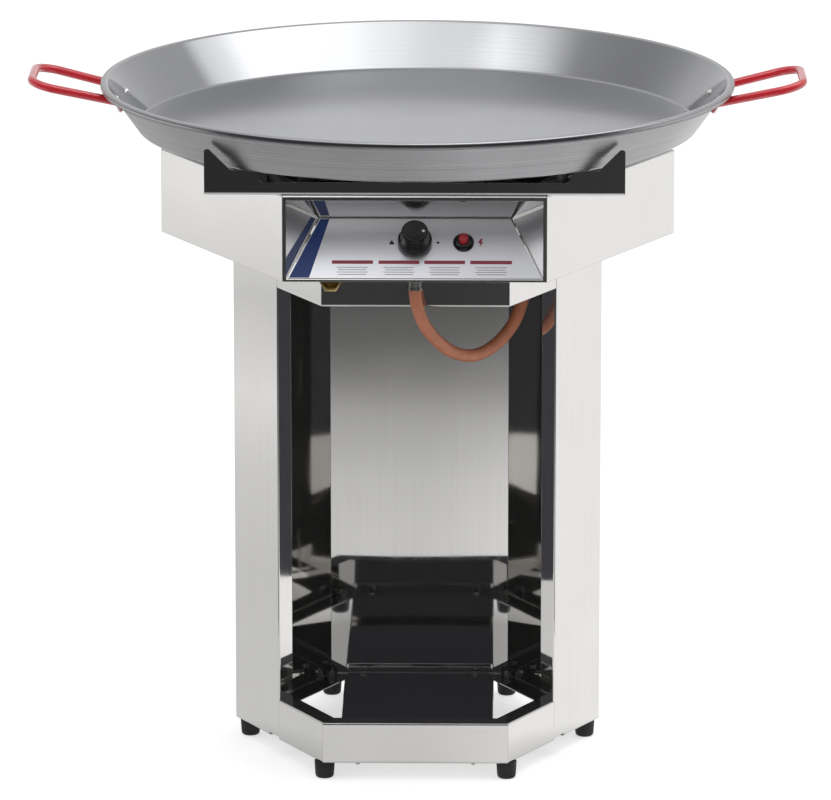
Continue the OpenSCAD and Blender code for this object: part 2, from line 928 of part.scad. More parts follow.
hub_top = z_ring + ring_tube_d / 2;
hub_foot = z_floor_top + bracket_t;
bracket_bolt_d = 6;
bracket_bolt_len = 9;
bracket_bolt_in = 14;
hub_flange_w = 8;

module bracket_bolt_places(sides) {
    for (side = sides)
        translate([side * (bracket_len / 2 - bracket_bolt_in), 0, hub_foot]) children();
}

module bracket_bolt_holes() {
    bracket_bolt_places([-1, 1])
        translate([0, 0, -bracket_bolt_len])
            cylinder(d = bracket_bolt_d + 2 * hole_fit, h = 2 * bracket_bolt_len);
}

module burner_hub() {
    flange_h = 4;
    crown = 5;
    color(dark_steel)
        difference() {
            translate([0, 0, hub_foot])
                rotate_extrude()
                    polygon([
                        [0, 0], [hub_d / 2 + hub_flange_w, 0], [hub_d / 2 + hub_flange_w, flange_h],
                        [hub_d / 2, flange_h],
                        [hub_d / 2, hub_top - hub_foot - crown], [hub_d / 2 - crown, hub_top - hub_foot],
                        [0, hub_top - hub_foot]
                    ]);
            translate([0, 0, hub_foot - 1])
                cylinder(d = bracket_bolt_d + 2 * hole_fit, h = bracket_bolt_len + 2);
        }
}

module burner_bracket() {
    color(dark_steel)
        difference() {
            translate([-bracket_len / 2, -bracket_w / 2, z_floor_top])
                cube([bracket_len, bracket_w, bracket_t]);
            bracket_bolt_places([-1, 0, 1])
                translate([0, 0, -bracket_t - 1])
                    cylinder(d = bracket_bolt_d + 2 * hole_fit, h = bracket_t + 2);
        }
}

module bracket_bolts() {
    color(dark_steel) {
        bracket_bolt_places([-1, 1]) screw(bracket_bolt_d, bracket_bolt_len);
        translate([0, 0, z_floor_top]) mirror([0, 0, 1]) screw(bracket_bolt_d, bracket_bolt_len + bracket_t);
    }
}

// Distance along the line from the burner's middle to the jet, local X outwards
module on_jet_line() {
    rotate([0, 0, -jet_angle]) translate([0, 0, z_mixer]) children();
}

// Tube that draws in air round the jet: a bell mouth, a throat and a widening bore
module mixing_tube() {
    mouth = jet_r - mixer_gap;
    inner = mixer_r - 2;
    throat = mixer_r - 4;
    bell = 22;
    color(dark_steel)
        difference() {
            on_jet_line()
                rotate([0, 90, 0])
                    rotate_extrude()
                        polygon([
                            [inner, 0], [mixer_r, 0], [mixer_r, mouth - bell], [mixer_mouth_r - 1, mouth - 4],
                            [mixer_mouth_r, mouth - 4], [mixer_mouth_r, mouth], [mixer_mouth_r - 2, mouth],
                            [throat, mouth - bell], [inner, mouth - 2.5 * bell]
                        ]);
            translate([0, 0, z_column]) cylinder(d = hub_d + 2 * fit, h = housing_h);
        }
}

module jet_bracket() {
    arm_y = mixer_mouth_r + fit + jet_strap / 2;
    back_x = jet_r + jet_body_d / 2 + 2 + jet_strap / 2;
    strap_h = 16;
    color(steel)
        on_jet_line()
            translate([0, 0, -strap_h / 2])
                linear_extrude(strap_h)
                    polygon(sheet_outline(
                        [
                            [jet_r - mixer_gap - 5, -arm_y], [back_x, -arm_y],
                            [back_x, arm_y], [jet_r - mixer_gap - 5, arm_y]
                        ],
                        jet_strap, [3, 3]
                    ));
}

module jet_holder() {
    nozzle = 12;
    tip = 18;
    back = jet_body_d / 2 + 2;
    color(brass) {
        on_jet_line() {
            translate([jet_r, 0, jet_foot - z_mixer])
                cylinder(d = jet_body_d, h = z_mixer - jet_foot + jet_body_d / 2);
            translate([jet_r, 0, 0]) rotate([0, 90, 0]) cylinder(d = nozzle, h = back);
            translate([jet_r - tip, 0, 0]) rotate([0, 90, 0]) cylinder(d1 = 5, d2 = nozzle, h = tip / 2);
            translate([jet_r - tip / 2, 0, 0]) rotate([0, 90, 0]) cylinder(d = nozzle, h = tip / 2);
            translate([jet_r, 0, jet_foot - z_mixer]) hexagon(jet_body_d + 2, 10);
        }
    }
}

// Ignition

module ignition_bracket() {
    strip_x = (button_x + probe_x) / 2;
    strip_w = 10;
    bar_w = probe_x - button_x + 14;
    bar_h = 18;
    height = 58;
    foot_l = 16;
    color(steel)
        translate([strip_x, ignition_y, z_floor_top]) {
            translate([-strip_w / 2, 0, 0]) cube([strip_w, bracket_sheet, height]);
            translate([-bar_w / 2, 0, height - bar_h]) cube([bar_w, bracket_sheet, bar_h]);
            translate([-strip_w / 2, -foot_l + bracket_sheet, 0]) cube([strip_w, foot_l, bracket_sheet]);
        }
}

module spark_electrode() {
    top = z_ring + ring_tube_d / 2 + 4;
    tip_d = 2.4;
    color("ivory")
        translate([button_x, electrode_y, electrode_foot])
            rotate_extrude()
                polygon([
                    [0, 0], [electrode_d / 2 - 1, 0], [electrode_d / 2, 1],
                    [electrode_d / 2, electrode_len - electrode_taper],
                    [electrode_d / 2 - 1, electrode_len], [0, electrode_len]
                ]);
    color(dark_steel)
        bent_rod(
            [
                [button_x, electrode_y, electrode_foot + electrode_len - 1], [button_x, electrode_y, top],
                [button_x, electrode_y + 14, top]
            ],
            tip_d, 4
        );
}

// Cables run along straight stretches with rounded corners
module ignition_lead() {
    tail_n = sheet_t + igniter_depth;
    tail = [button_x, front_y + (control_v + tail_n) * cos(45), recess_floor + (control_v - tail_n) * sin(45)];
    out = tail.z - lead_z;
    color(black)
        swept_tube(
            rounded_route(
                [
                    tail, tail + [0, out, -out], [button_x, electrode_y, lead_z],
                    [button_x, electrode_y, electrode_foot]
                ],
                lead_bend_r
            ),
            lead_d, lead_sides, [1, 0, 0]
        );
}

module thermocouple() {
    length = z_ring + ring_tube_d / 2 + 3 - electrode_foot;
    color("peru")
        translate([probe_x, probe_y, electrode_foot])
            rotate_extrude()
                polygon([
                    [0, 0], [probe_d / 2, 0], [probe_d / 2, length - 2], [probe_d / 2 - 1.5, length], [0, length]
                ]);
}

module thermocouple_lead() {
    turn_x = valve_w / 2 + 15;
    color("peru")
        swept_tube(
            rounded_route(
                [
                    [probe_x, probe_y, electrode_foot], [probe_x, probe_y, lead_z], [probe_x, valve_y, lead_z],
                    [turn_x, valve_y, lead_z], [turn_x, valve_y, valve_z], [valve_w / 2, valve_y, valve_z]
                ],
                lead_bend_r
            ),
            capillary_d, lead_sides, unit([3, 2, 4])
        );
}

// Controls

module valve_body() {
    color(brass)
        difference() {
            union() {
                on_panel(0, control_v) {
                    translate([-valve_w / 2, -valve_w / 2, -sheet_t - valve_depth])
                        cube([valve_w, valve_w, valve_depth]);
                    translate([0, 0, -sheet_t]) cylinder(d = valve_neck_d, h = sheet_t + fascia_t + valve_nut_h);
                }
                translate([0, valve_y, z_floor_top + valve_floor_gap])
                    cylinder(d = valve_boss_d, h = valve_z - z_floor_top - valve_floor_gap);
            }
            on_panel(0, control_v)
                translate([0, 0, -spindle_in - knob_push - 1])
                    cylinder(d = spindle_d + 2 * run_fit, h = 2 * spindle_in + knob_push);
        }
}

module valve_nut() {
    color(steel)
        on_panel(0, control_v)
            translate([0, 0, fascia_t])
                difference() {
                    hexagon(valve_neck_d + 6, valve_nut_h);
                    translate([0, 0, -1]) cylinder(d = valve_neck_d + 2 * fit, h = valve_nut_h + 2);
                }
}

module valve_spindle() {
    color(steel)
        on_panel(0, control_v)
            translate([0, 0, -spindle_in])
                cylinder(d = spindle_d, h = spindle_in + knob_foot_n + knob_bore - 0.1);
}

module control_knob() {
    rim_h = 4;
    rim_step = 2.5;
    edge = 2.5;
    hollow = knob_top_d / 2 - 2;
    hollow_h = valve_nut_h + 1.5;
    color(black)
        on_panel(0, control_v)
            translate([0, 0, knob_foot_n])
                difference() {
                    rotate_extrude()
                        polygon([
                            [0, 0], [knob_d / 2, 0], [knob_d / 2, rim_h - 1], [knob_d / 2 - 1, rim_h],
                            [knob_d / 2 - rim_step, rim_h], [knob_top_d / 2, knob_h - edge],
                            [knob_top_d / 2 - 0.8, knob_h - 0.8], [knob_top_d / 2 - edge, knob_h], [0, knob_h]
                        ]);
                    translate([0, 0, -1]) cylinder(r = hollow, h = hollow_h + 1);
                    cylinder(d = spindle_d + 2 * run_fit, h = knob_bore);
                }
}

module igniter_body() {
    color(black)
        on_panel(button_x, control_v)
            difference() {
                union() {
                    translate([0, 0, -sheet_t - igniter_depth]) cylinder(d = igniter_d, h = igniter_depth);
                    translate([0, 0, -sheet_t]) cylinder(d = igniter_neck_d, h = sheet_t + fascia_t);
                }
                translate([0, 0, -button_in - button_push - 1])
                    cylinder(d = button_d + 2 * button_fit, h = 2 * button_in + button_push + 4);
            }
}

module igniter_bezel() {
    color(black)
        on_panel(button_x, control_v)
            translate([0, 0, fascia_t])
                difference() {
                    rotate_extrude()
                        polygon([
                            [0, 0], [bezel_d / 2, 0], [bezel_d / 2, 1.5], [bezel_d / 2 - 3, bezel_h - 0.6],
                            [bezel_d / 2 - 3.6, bezel_h], [0, bezel_h]
                        ]);
                    translate([0, 0, -1]) cylinder(d = button_d + 2 * button_fit, h = bezel_h + 2);
                }
}

module igniter_button() {
    top = fascia_t + bezel_h + button_proud;
    color(red)
        on_panel(button_x, control_v)
            rotate_extrude()
                polygon([
                    [0, -button_in], [button_d / 2, -button_in], [button_d / 2, top - 1.2],
                    [button_d / 2 - 0.4, top - 0.4], [button_d / 2 - 1.2, top], [0, top]
                ]);
}

// Gas line

module inlet_socket() {
    color(brass)
        translate([inlet_x, -col_a, inlet_z])
            rotate([90, 0, 0])
                difference() {
                    union() {
                        hexagon(inlet_flats, inlet_proud);
                        translate([0, 0, -sheet_t - inlet_neck_len])
                            cylinder(d = inlet_neck_d, h = inlet_neck_len + sheet_t + 1);
                    }
                    translate([0, 0, inlet_proud - inlet_bore_depth])
                        cylinder(d = inlet_bore_d, h = inlet_bore_depth + 1);
                }
}

module inlet_nut() {
    color(brass)
        translate([inlet_x, -col_a + sheet_t + inlet_nut_h, inlet_z])
            rotate([90, 0, 0])
                difference() {
                    rotate([0, 0, 30]) hexagon(inlet_nut_flats, inlet_nut_h);
                    translate([0, 0, -1]) cylinder(d = inlet_neck_d + 2 * fit, h = inlet_nut_h + 2);
                }
}

module inlet_pipe() {
    start_y = -col_a + sheet_t + inlet_neck_len;
    back_y = start_y + pipe_bend_r + 6;
    color("peru")
        bent_rod(
            [
                [inlet_x, start_y, inlet_z], [inlet_x, back_y, inlet_z], [inlet_x, back_y, valve_z],
                [inlet_x, valve_y, valve_z], [-valve_w / 2, valve_y, valve_z]
            ],
            pipe_d, pipe_bend_r
        );
}

module outlet_fitting() {
    stub_top = z_floor_top + valve_floor_gap;
    color(brass)
        translate([0, valve_y, 0]) {
            translate([0, 0, hose_top]) cylinder(d = outlet_d, h = stub_top - hose_top);
            translate([0, 0, hose_top]) hexagon(outlet_flats, outlet_nut_h);
        }
}

// Sleeve crimped round the end of the hose
module ferrule() {
    color(steel)
        rotate_extrude()
            polygon([
                [hose_d / 2 + fit, 0], [hose_d / 2 + fit + ferrule_t + 0.6, 0],
                [hose_d / 2 + fit + ferrule_t + 0.6, 2], [hose_d / 2 + fit + ferrule_t, 3],
                [hose_d / 2 + fit + ferrule_t, ferrule_h], [hose_d / 2 + fit, ferrule_h]
            ]);
}

module front_ferrule() {
    translate(HOSE_ROUTE[0] - [0, 0, ferrule_h]) ferrule();
}

module rear_ferrule() {
    translate(HOSE_ROUTE[len(HOSE_ROUTE) - 1] - [0, 0, ferrule_h]) ferrule();
}

module gas_hose() {
    color("chocolate") swept_tube(HOSE_ROUTE, hose_d, hose_sides, HOSE_SIDE);
}

// Pan and handles

// Radius of the outside of the pan's wall at a height above its floor, moved out by a clearance
function pan_wall_r(h, clear) =
    pan_floor_d / 2 + wall_run_r * (h - pan_t / 2) / wall_rise + (pan_t / 2 + clear) / cos(wall_lean);

// The four rivets, on the outside of the pan's wall: local Z points out of the wall
module rivet_places(sides) {
    turn = asin(rivet_y / pan_wall_r(rivet_z, 0));
    for (side = sides, end = [-1, 1])
        rotate([0, 0, (side < 0 ? 180 : 0) + end * turn])
            translate([pan_wall_r(rivet_z, 0), 0, z_pan + rivet_z])
                rotate([0, 90 + wall_lean, 0])
                    children();
}

module rivet_holes(sides) {
    rivet_places(sides) translate([0, 0, -15]) cylinder(d = rivet_d + 2 * hole_fit, h = 30);
}

module pan() {
    mid = pan_t / 2;
    color(pan_steel)
        difference() {
            translate([0, 0, z_pan])
                rotate_extrude($fn = 180)
                    polygon(sheet_outline(
                        [
                            [0, mid], [pan_floor_d / 2, mid], [pan_d / 2 - pan_lip_w, pan_h - mid],
                            [pan_d / 2 - mid, pan_h - mid], [pan_d / 2 - mid, pan_h - pan_roll_h + mid],
                            [pan_d / 2 - mid - pan_curl_w, pan_h - pan_roll_h + mid]
                        ],
                        pan_t, [pan_bend_r, pan_lip_bend_r, pan_lip_bend_r, pan_lip_bend_r]
                    ));
            rivet_holes([-1, 1]);
        }
}

module right_handle() {
    inset = wall_reach + rod_past_wall;
    loop = [
        for (end = [-1, 1], place = end < 0 ? [-inset, handle_reach] : [handle_reach, -inset])
            [
                pan_d / 2 + place * cos(handle_rise),
                end * (handle_root_w / 2 + place * handle_flare),
                z_pan + handle_z + place * sin(handle_rise)
            ]
    ];
    cut = 80;
    color(red)
        difference() {
            union() {
                swept_tube(
                    rounded_route(loop, handle_corner_r), handle_d, handle_sides,
                    [-sin(handle_rise), 0, cos(handle_rise)]
                );
                rivet_places([1]) {
                    translate([-tab_up, -tab_w / 2, 0]) cube([tab_up + tab_down, tab_w, tab_t]);
                    translate([tab_down, 0, 0]) cylinder(d = tab_w, h = tab_t);
                }
            }
            rivet_places([1]) translate([-cut / 2, -cut / 2, tab_fit - cut]) cube(cut);
            rivet_holes([1]);
        }
}

module left_handle() {
    rotate([0, 0, 180]) right_handle();
}

module handle_rivets() {
    head = rivet_d * 0.9;
    head_h = rivet_d * 0.45;
    top = tab_t;
    low = -pan_t - 0.1;
    color(steel)
        rivet_places([-1, 1])
            rotate_extrude()
                polygon([
                    [0, low - head_h], [head * 0.6, low - head_h * 0.8], [head, low], [rivet_d / 2, low],
                    [rivet_d / 2, top], [head, top], [head * 0.6, top + head_h * 0.8], [0, top + head_h]
                ]);
}

left_side_panel();
right_side_panel();
back_panel();
front_skirt();
front_rail();
bottle_tray();
tray_screws();
for (foot = FEET)
    rubber_foot(foot[1]);
foot_studs();
housing_shell();
housing_floor();
housing_screws();
console_shell();
control_fascia();
front_pan_support();
back_pan_support();
support_screws();
outer_burner_ring();
inner_burner_ring();
feed_arms();
burner_hub();
burner_bracket();
bracket_bolts();
mixing_tube();
jet_bracket();
jet_holder();
ignition_bracket();
spark_electrode();
ignition_lead();
thermocouple();
thermocouple_lead();
valve_body();
valve_nut();
valve_spindle();
control_knob();
igniter_body();
igniter_bezel();
igniter_button();
inlet_socket();
inlet_nut();
inlet_pipe();
outlet_fitting();
front_ferrule();
rear_ferrule();
gas_hose();
pan();
left_handle();
right_handle();
handle_rivets();
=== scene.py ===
"""Looks of a free-standing gas paella burner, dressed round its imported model.

Sizes are in metres in the model's own frame: +Z up, the front towards -Y.
"""

import json
import logging
import math
from contextlib import contextmanager
from dataclasses import dataclass, field
from enum import Enum
from functools import cache
from itertools import pairwise
from typing import Iterator, Sequence

import bpy
from mathutils import Matrix, Vector


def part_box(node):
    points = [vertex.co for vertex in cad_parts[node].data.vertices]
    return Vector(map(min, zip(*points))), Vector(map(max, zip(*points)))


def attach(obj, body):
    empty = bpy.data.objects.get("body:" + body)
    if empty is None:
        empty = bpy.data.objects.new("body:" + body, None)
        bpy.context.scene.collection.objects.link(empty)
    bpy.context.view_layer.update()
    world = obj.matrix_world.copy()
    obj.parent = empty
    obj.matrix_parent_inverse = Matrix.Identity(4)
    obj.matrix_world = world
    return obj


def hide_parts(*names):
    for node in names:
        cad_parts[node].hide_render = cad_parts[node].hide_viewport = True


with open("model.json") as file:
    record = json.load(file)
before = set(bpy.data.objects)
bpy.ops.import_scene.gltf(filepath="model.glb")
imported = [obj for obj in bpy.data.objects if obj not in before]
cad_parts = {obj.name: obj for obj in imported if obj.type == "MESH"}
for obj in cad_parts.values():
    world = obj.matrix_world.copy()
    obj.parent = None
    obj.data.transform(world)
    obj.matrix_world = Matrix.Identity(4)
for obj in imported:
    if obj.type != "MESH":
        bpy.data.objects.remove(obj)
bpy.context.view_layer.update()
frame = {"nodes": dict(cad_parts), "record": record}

LOG = logging.getLogger("paella_burner")

Color = tuple[float, float, float]
Point = tuple[float, float, float]
Size = tuple[float, float]
Profile = Sequence[tuple[float, float]]
Stops = tuple[tuple[float, float], ...]
Socket = bpy.types.NodeSocket

BLACK: Color = (0.0, 0.0, 0.0)
WHITE: Color = (1.0, 1.0, 1.0)
LEAST_ROUGHNESS = 0.02
MM_PER_METRE = 1000
# Part of the range from 0 to 1 that noise covers, alone and clouded
NOISE_SPAN: Size = (0.3, 0.7)
WIDE_SPAN: Size = (0.2, 0.8)


class Grain(Enum):
    """How the fine streaks of a rolled sheet run: the stretch of their noise along X, Y and Z."""

    UPRIGHT = (1.0, 1.0, 0.015)
    ACROSS = (0.015, 1.0, 1.0)
    DEEP = (1.0, 0.015, 1.0)
    EVEN = (1.0, 1.0, 1.0)


class Joining(Enum):
    """What a tool does to a piece: Blender's names for the Boolean operations."""

    WELD = "UNION"
    CUT = "DIFFERENCE"


class Graph:
    """A node tree, built step by step."""

    # Places of the two colours and of their result among the sockets of a Mix node
    MIX_COLORS = slice(6, 8)
    MIX_RESULT = 2

    def __init__(self, tree: bpy.types.NodeTree) -> None:
        """Work in a node tree."""
        self.tree = tree

    def node(self, kind: str, **settings: object) -> bpy.types.Node:
        """Add a node.

        Args:
            kind: Blender's name for the node type.
            settings: Properties to set on the node.

        Returns:
            The new node.
        """
        made = self.tree.nodes.new(kind)
        for key, value in settings.items():
            setattr(made, key, value)
        return made

    def link(self, source: Socket, target: Socket) -> None:
        """Join an output to an input."""
        self.tree.links.new(source, target)

    def plug(self, target: Socket, value: object) -> None:
        """Give an input a constant, or join an output to it.

        Args:
            target: The input.
            value: The constant or the output.
        """
        if isinstance(value, Socket):
            self.link(value, target)
        else:
            target.default_value = value

    def math(self, operation: str, *values: object) -> Socket:
        """Combine values.

        Args:
            operation: Blender's name for the operation.
            values: Sockets or numbers.

        Returns:
            The result.
        """
        made = self.node("ShaderNodeMath", operation=operation)
        for target, value in zip(made.inputs, values):
            self.plug(target, value)
        return made.outputs["Value"]

    def axes(self, place: Socket) -> tuple[Socket, ...]:
        """Split a place into its X, Y and Z.

        Args:
            place: The place.

        Returns:
            The three distances.
        """
        parts = self.node("ShaderNodeSeparateXYZ")
        self.link(place, parts.inputs[0])
        return tuple(parts.outputs)

    def length(self, place: Socket) -> Socket:
        """Measure a place's distance from the origin.

        Args:
            place: The place.

        Returns:
            The distance.
        """
        made = self.node("ShaderNodeVectorMath", operation="LENGTH")
        self.link(place, made.inputs[0])
        return made.outputs["Value"]

    def spread(self, source: Socket, low: float, high: float, span: Size = NOISE_SPAN) -> Socket:
        """Map a value to a new range.

        Args:
            source: The value.
            low: Result at the span's start and below.
            high: Result at the span's end and above.
            span: Start and end of the old range.

        Returns:
            The mapped value.
        """
        ranged = self.node("ShaderNodeMapRange")
        for name, value in zip(("From Min", "From Max", "To Min", "To Max"), (*span, low, high)):
            ranged.inputs[name].default_value = value
        self.link(source, ranged.inputs["Value"])
        return ranged.outputs["Result"]

    def fade(self, source: Socket, stops: Stops) -> Socket:
        """Grade brightness along a value.

        Args:
            source: The value.
            stops: Values from low to high, and the brightness at each.

        Returns:
            The brightness.
        """
        first, last = stops[0][0], stops[-1][0]
        ramp = self.node("ShaderNodeValToRGB")
        self.link(self.spread(source, 0.0, 1.0, (first, last)), ramp.inputs["Fac"])
        elements = ramp.color_ramp.elements
        while len(elements) < len(stops):
            elements.new(0.5)
        for element, (place, value) in zip(elements, stops):
            element.position = (place - first) / (last - first)
            element.color = (value, value, value, 1.0)
        return ramp.outputs["Color"]

    def mix(self, factor: Socket, low: object, high: object) -> Socket:
        """Mix two colours.

        Args:
            factor: Share of the second colour, which may be more than 1.
            low: First colour, or the socket that gives it.
            high: Second colour, or the socket that gives it.

        Returns:
            The mixed colour.
        """
        made = self.node("ShaderNodeMix", data_type="RGBA", clamp_factor=False)
        self.link(factor, made.inputs["Factor"])
        for target, value in zip(made.inputs[self.MIX_COLORS], (low, high)):
            self.plug(target, value if isinstance(value, Socket) else (*value, 1.0))
        return made.outputs[self.MIX_RESULT]


class ShaderGraph(Graph):
    """A material's node tree, built round its main shader."""

    def __init__(self, name: str) -> None:
        """Start a material.

        Args:
            name: Name of the material.
        """
        self.material = bpy.data.materials.new(name)
        self.material.use_nodes = True
        super().__init__(self.material.node_tree)
        self.shader = self.tree.nodes["Principled BSDF"]
        self.place = self.node("ShaderNodeTexCoord").outputs["Object"]

    def set(self, **values: object) -> None:
        """Set constants on the main shader, with spaces in socket names written as underscores."""
        for key, value in values.items():
            self.shader.inputs[key.replace("_", " ")].default_value = value

    def feed(self, name: str, source: Socket) -> None:
        """Drive one of the main shader's sockets."""
        self.link(source, self.shader.inputs[name])

    def surface(self, shader: Socket) -> None:
        """Show another shader in place of the main one."""
        self.tree.nodes.remove(self.shader)
        self.link(shader, self.tree.nodes["Material Output"].inputs["Surface"])

    def noise(self, scale: float, detail: float = 2.0, stretch: Point = Grain.EVEN.value,
              place: Socket | None = None) -> Socket:
        """Add noise over the piece.

        Args:
            scale: Noise cells per metre.
            detail: Octaves of finer noise.
            stretch: Factor on each axis; a small one draws the noise out into streaks.
            place: Coordinates to read instead of the piece's own.

        Returns:
            The noise from 0 to 1.
        """
        mapping = self.node("ShaderNodeMapping")
        mapping.inputs["Scale"].default_value = stretch
        self.link(place or self.place, mapping.inputs["Vector"])
        noise = self.node("ShaderNodeTexNoise")
        noise.inputs["Scale"].default_value = scale
        noise.inputs["Detail"].default_value = detail
        self.link(mapping.outputs["Vector"], noise.inputs["Vector"])
        return noise.outputs["Fac"]

    def blend(self, factor: Socket, low: Color, high: Color) -> Socket:
        """Fade from one colour to another.

        Args:
            factor: Value from 0 to 1.
            low: Colour at 0.
            high: Colour at 1.

        Returns:
            The blended colour.
        """
        ramp = self.node("ShaderNodeValToRGB")
        for element, color in zip(ramp.color_ramp.elements, (low, high)):
            element.color = (*color, 1.0)
        self.link(factor, ramp.inputs["Fac"])
        return ramp.outputs["Color"]

    def bump(self, height: Socket, depth: float, normal: Socket | None = None) -> None:
        """Raise the surface by a height map.

        Args:
            height: Height from 0 to 1.
            depth: Real depth of the relief.
            normal: Normal to start from instead of the piece's own.
        """
        bump = self.node("ShaderNodeBump")
        bump.inputs["Distance"].default_value = depth
        self.link(height, bump.inputs["Height"])
        if normal:
            self.link(normal, bump.inputs["Normal"])
        self.feed("Normal", bump.outputs["Normal"])

    def round_edges(self, radius: float) -> tuple[Socket, Socket]:
        """Round the piece's edges in the shading.

        Args:
            radius: Radius of the rounding.

        Returns:
            The rounded normal, and how well it agrees with the piece's own: 1 away from the edges.
        """
        bevel = self.node("ShaderNodeBevel", samples=4)
        bevel.inputs["Radius"].default_value = radius
        agree = self.node("ShaderNodeVectorMath", operation="DOT_PRODUCT")
        self.link(bevel.outputs["Normal"], agree.inputs[0])
        self.link(self.node("ShaderNodeNewGeometry").outputs["Normal"], agree.inputs[1])
        return bevel.outputs["Normal"], agree.outputs["Value"]


def shade(color: Color, factor: float) -> Color:
    """Darken or lighten a colour."""
    return tuple(min(1.0, channel * factor) for channel in color)


@dataclass(frozen=True)
class Finish:
    """A surface with a mottled colour, uneven gloss and a fine relief."""

    name: str
    color: Color
    roughness: float
    metallic: float = 0.0
    mottle: float = 0.1
    uneven: float = 0.05
    cells: float = 60.0
    relief: float = 0.00005
    relief_cells: float = 900.0
    grain: Grain = Grain.EVEN
    coat: float = 0.0
    coat_ior: float = 1.5
    coat_roughness: float = 0.03

    @cache
    def material(self) -> bpy.types.Material:
        """Return the finish's material, made on the first call."""
        return self.build().material

    def build(self) -> ShaderGraph:
        """Build the node tree.

        Returns:
            The finished graph.
        """
        graph = ShaderGraph(self.name)
        graph.set(Metallic=self.metallic, Coat_Weight=self.coat, Coat_IOR=self.coat_ior,
                  Coat_Roughness=self.coat_roughness)
        patches = graph.noise(self.cells, detail=4.0, stretch=self.grain.value)
        graph.feed("Base Color", graph.blend(graph.spread(patches, 0.0, 1.0),
                                             shade(self.color, 1 - self.mottle), self.color))
        graph.feed("Roughness", graph.spread(patches, self.roughness + self.uneven,
                                             max(LEAST_ROUGHNESS, self.roughness - self.uneven)))
        graph.bump(graph.noise(self.relief_cells, detail=3.0, stretch=self.grain.value), self.relief)
        return graph


@dataclass(frozen=True)
class SheetFinish(Finish):
    """Polished sheet metal: fine streaks along the rolling direction, slow waves, and edges darkened in the
    colour, partly as wear and partly as painted shade in the folds.
    """

    wave_cells: float = 5.0
    wave: float = 0.0006
    cloud: float = 0.4
    edge: float = 0.0009
    # Share by which the colour darkens on edges: partly wear, partly painted shade in the folds
    edge_shade_and_wear: float = 0.6
    # Agreement of the rounded normal with the flat one, on an edge and clear of it
    edge_span: Size = (0.9, 0.995)

    def build(self) -> ShaderGraph:
        """Build the node tree.

        Returns:
            The finished graph.
        """
        graph = ShaderGraph(self.name)
        graph.set(Metallic=self.metallic)
        streaks = graph.noise(self.cells, detail=5.0, stretch=self.grain.value)
        cloud = graph.noise(self.wave_cells * 2)
        smear = graph.math("MULTIPLY", streaks, graph.spread(cloud, 1 - self.cloud, 1 + self.cloud))
        rounded, agree = graph.round_edges(self.edge)
        # The colour darkens where the rounded normal turns away from the flat one: partly wear, partly
        # painted shade in the folds
        toned = graph.node("ShaderNodeVectorMath", operation="SCALE")
        graph.link(graph.blend(graph.spread(smear, 0.0, 1.0, WIDE_SPAN),
                               self.color, shade(self.color, 1 - self.mottle)), toned.inputs[0])
        graph.link(graph.spread(agree, 1 - self.edge_shade_and_wear, 1.0, self.edge_span), toned.inputs["Scale"])
        graph.feed("Base Color", toned.outputs["Vector"])
        graph.feed("Roughness", graph.spread(smear, max(LEAST_ROUGHNESS, self.roughness - self.uneven),
                                             self.roughness + self.uneven, WIDE_SPAN))
        graph.bump(graph.noise(self.wave_cells, detail=1.0), self.wave, rounded)
        return graph


@dataclass(frozen=True)
class PanFinish(Finish):
    """Pressed pan steel: fine turned rings, a floor, a wall and a lip that each have their own gloss."""

    rings: float = 900.0
    cloud: float = 0.3
    floor_radius: float = 0.345
    floor_bend: float = 0.012
    wall_gloss: float = 0.09
    ring_depth: float = 0.000003
    wave_cells: float = 3.0
    wave: float = 0.0012
    lip_radius: float = 0.392
    lip_bend: float = 0.002
    lip_dull: float = 0.24

    def build(self) -> ShaderGraph:
        """Build the node tree.

        Returns:
            The finished graph.
        """
        graph = ShaderGraph(self.name)
        graph.set(Metallic=self.metallic)
        flat = graph.node("ShaderNodeVectorMath", operation="MULTIPLY")
        flat.inputs[1].default_value = (1.0, 1.0, 0.0)
        graph.link(graph.place, flat.inputs[0])
        radius = graph.length(flat.outputs["Vector"])
        across = graph.node("ShaderNodeCombineXYZ")
        graph.link(radius, across.inputs["X"])
        rings = graph.noise(self.rings, detail=3.0, place=across.outputs["Vector"])
        patches = graph.noise(self.cells, detail=4.0)
        toned = graph.math("MULTIPLY", rings, graph.spread(patches, 1 - self.cloud, 1 + self.cloud))
        graph.feed("Base Color", graph.blend(graph.spread(toned, 0.0, 1.0, WIDE_SPAN),
                                             self.color, shade(self.color, 1 - self.mottle)))
        gloss = graph.spread(radius, self.roughness, self.wall_gloss,
                             (self.floor_radius, self.floor_radius + self.floor_bend))
        dull = graph.spread(radius, 0.0, self.lip_dull, (self.lip_radius, self.lip_radius + self.lip_bend))
        gloss = graph.math("ADD", gloss, dull)
        graph.feed("Roughness", graph.math("ADD", gloss,
                                           graph.spread(toned, -self.uneven, self.uneven, WIDE_SPAN)))
        swell = graph.math("MULTIPLY", graph.noise(self.wave_cells, detail=1.0),
                           self.wave / self.ring_depth)
        graph.bump(graph.math("ADD", rings, swell), self.ring_depth)
        return graph


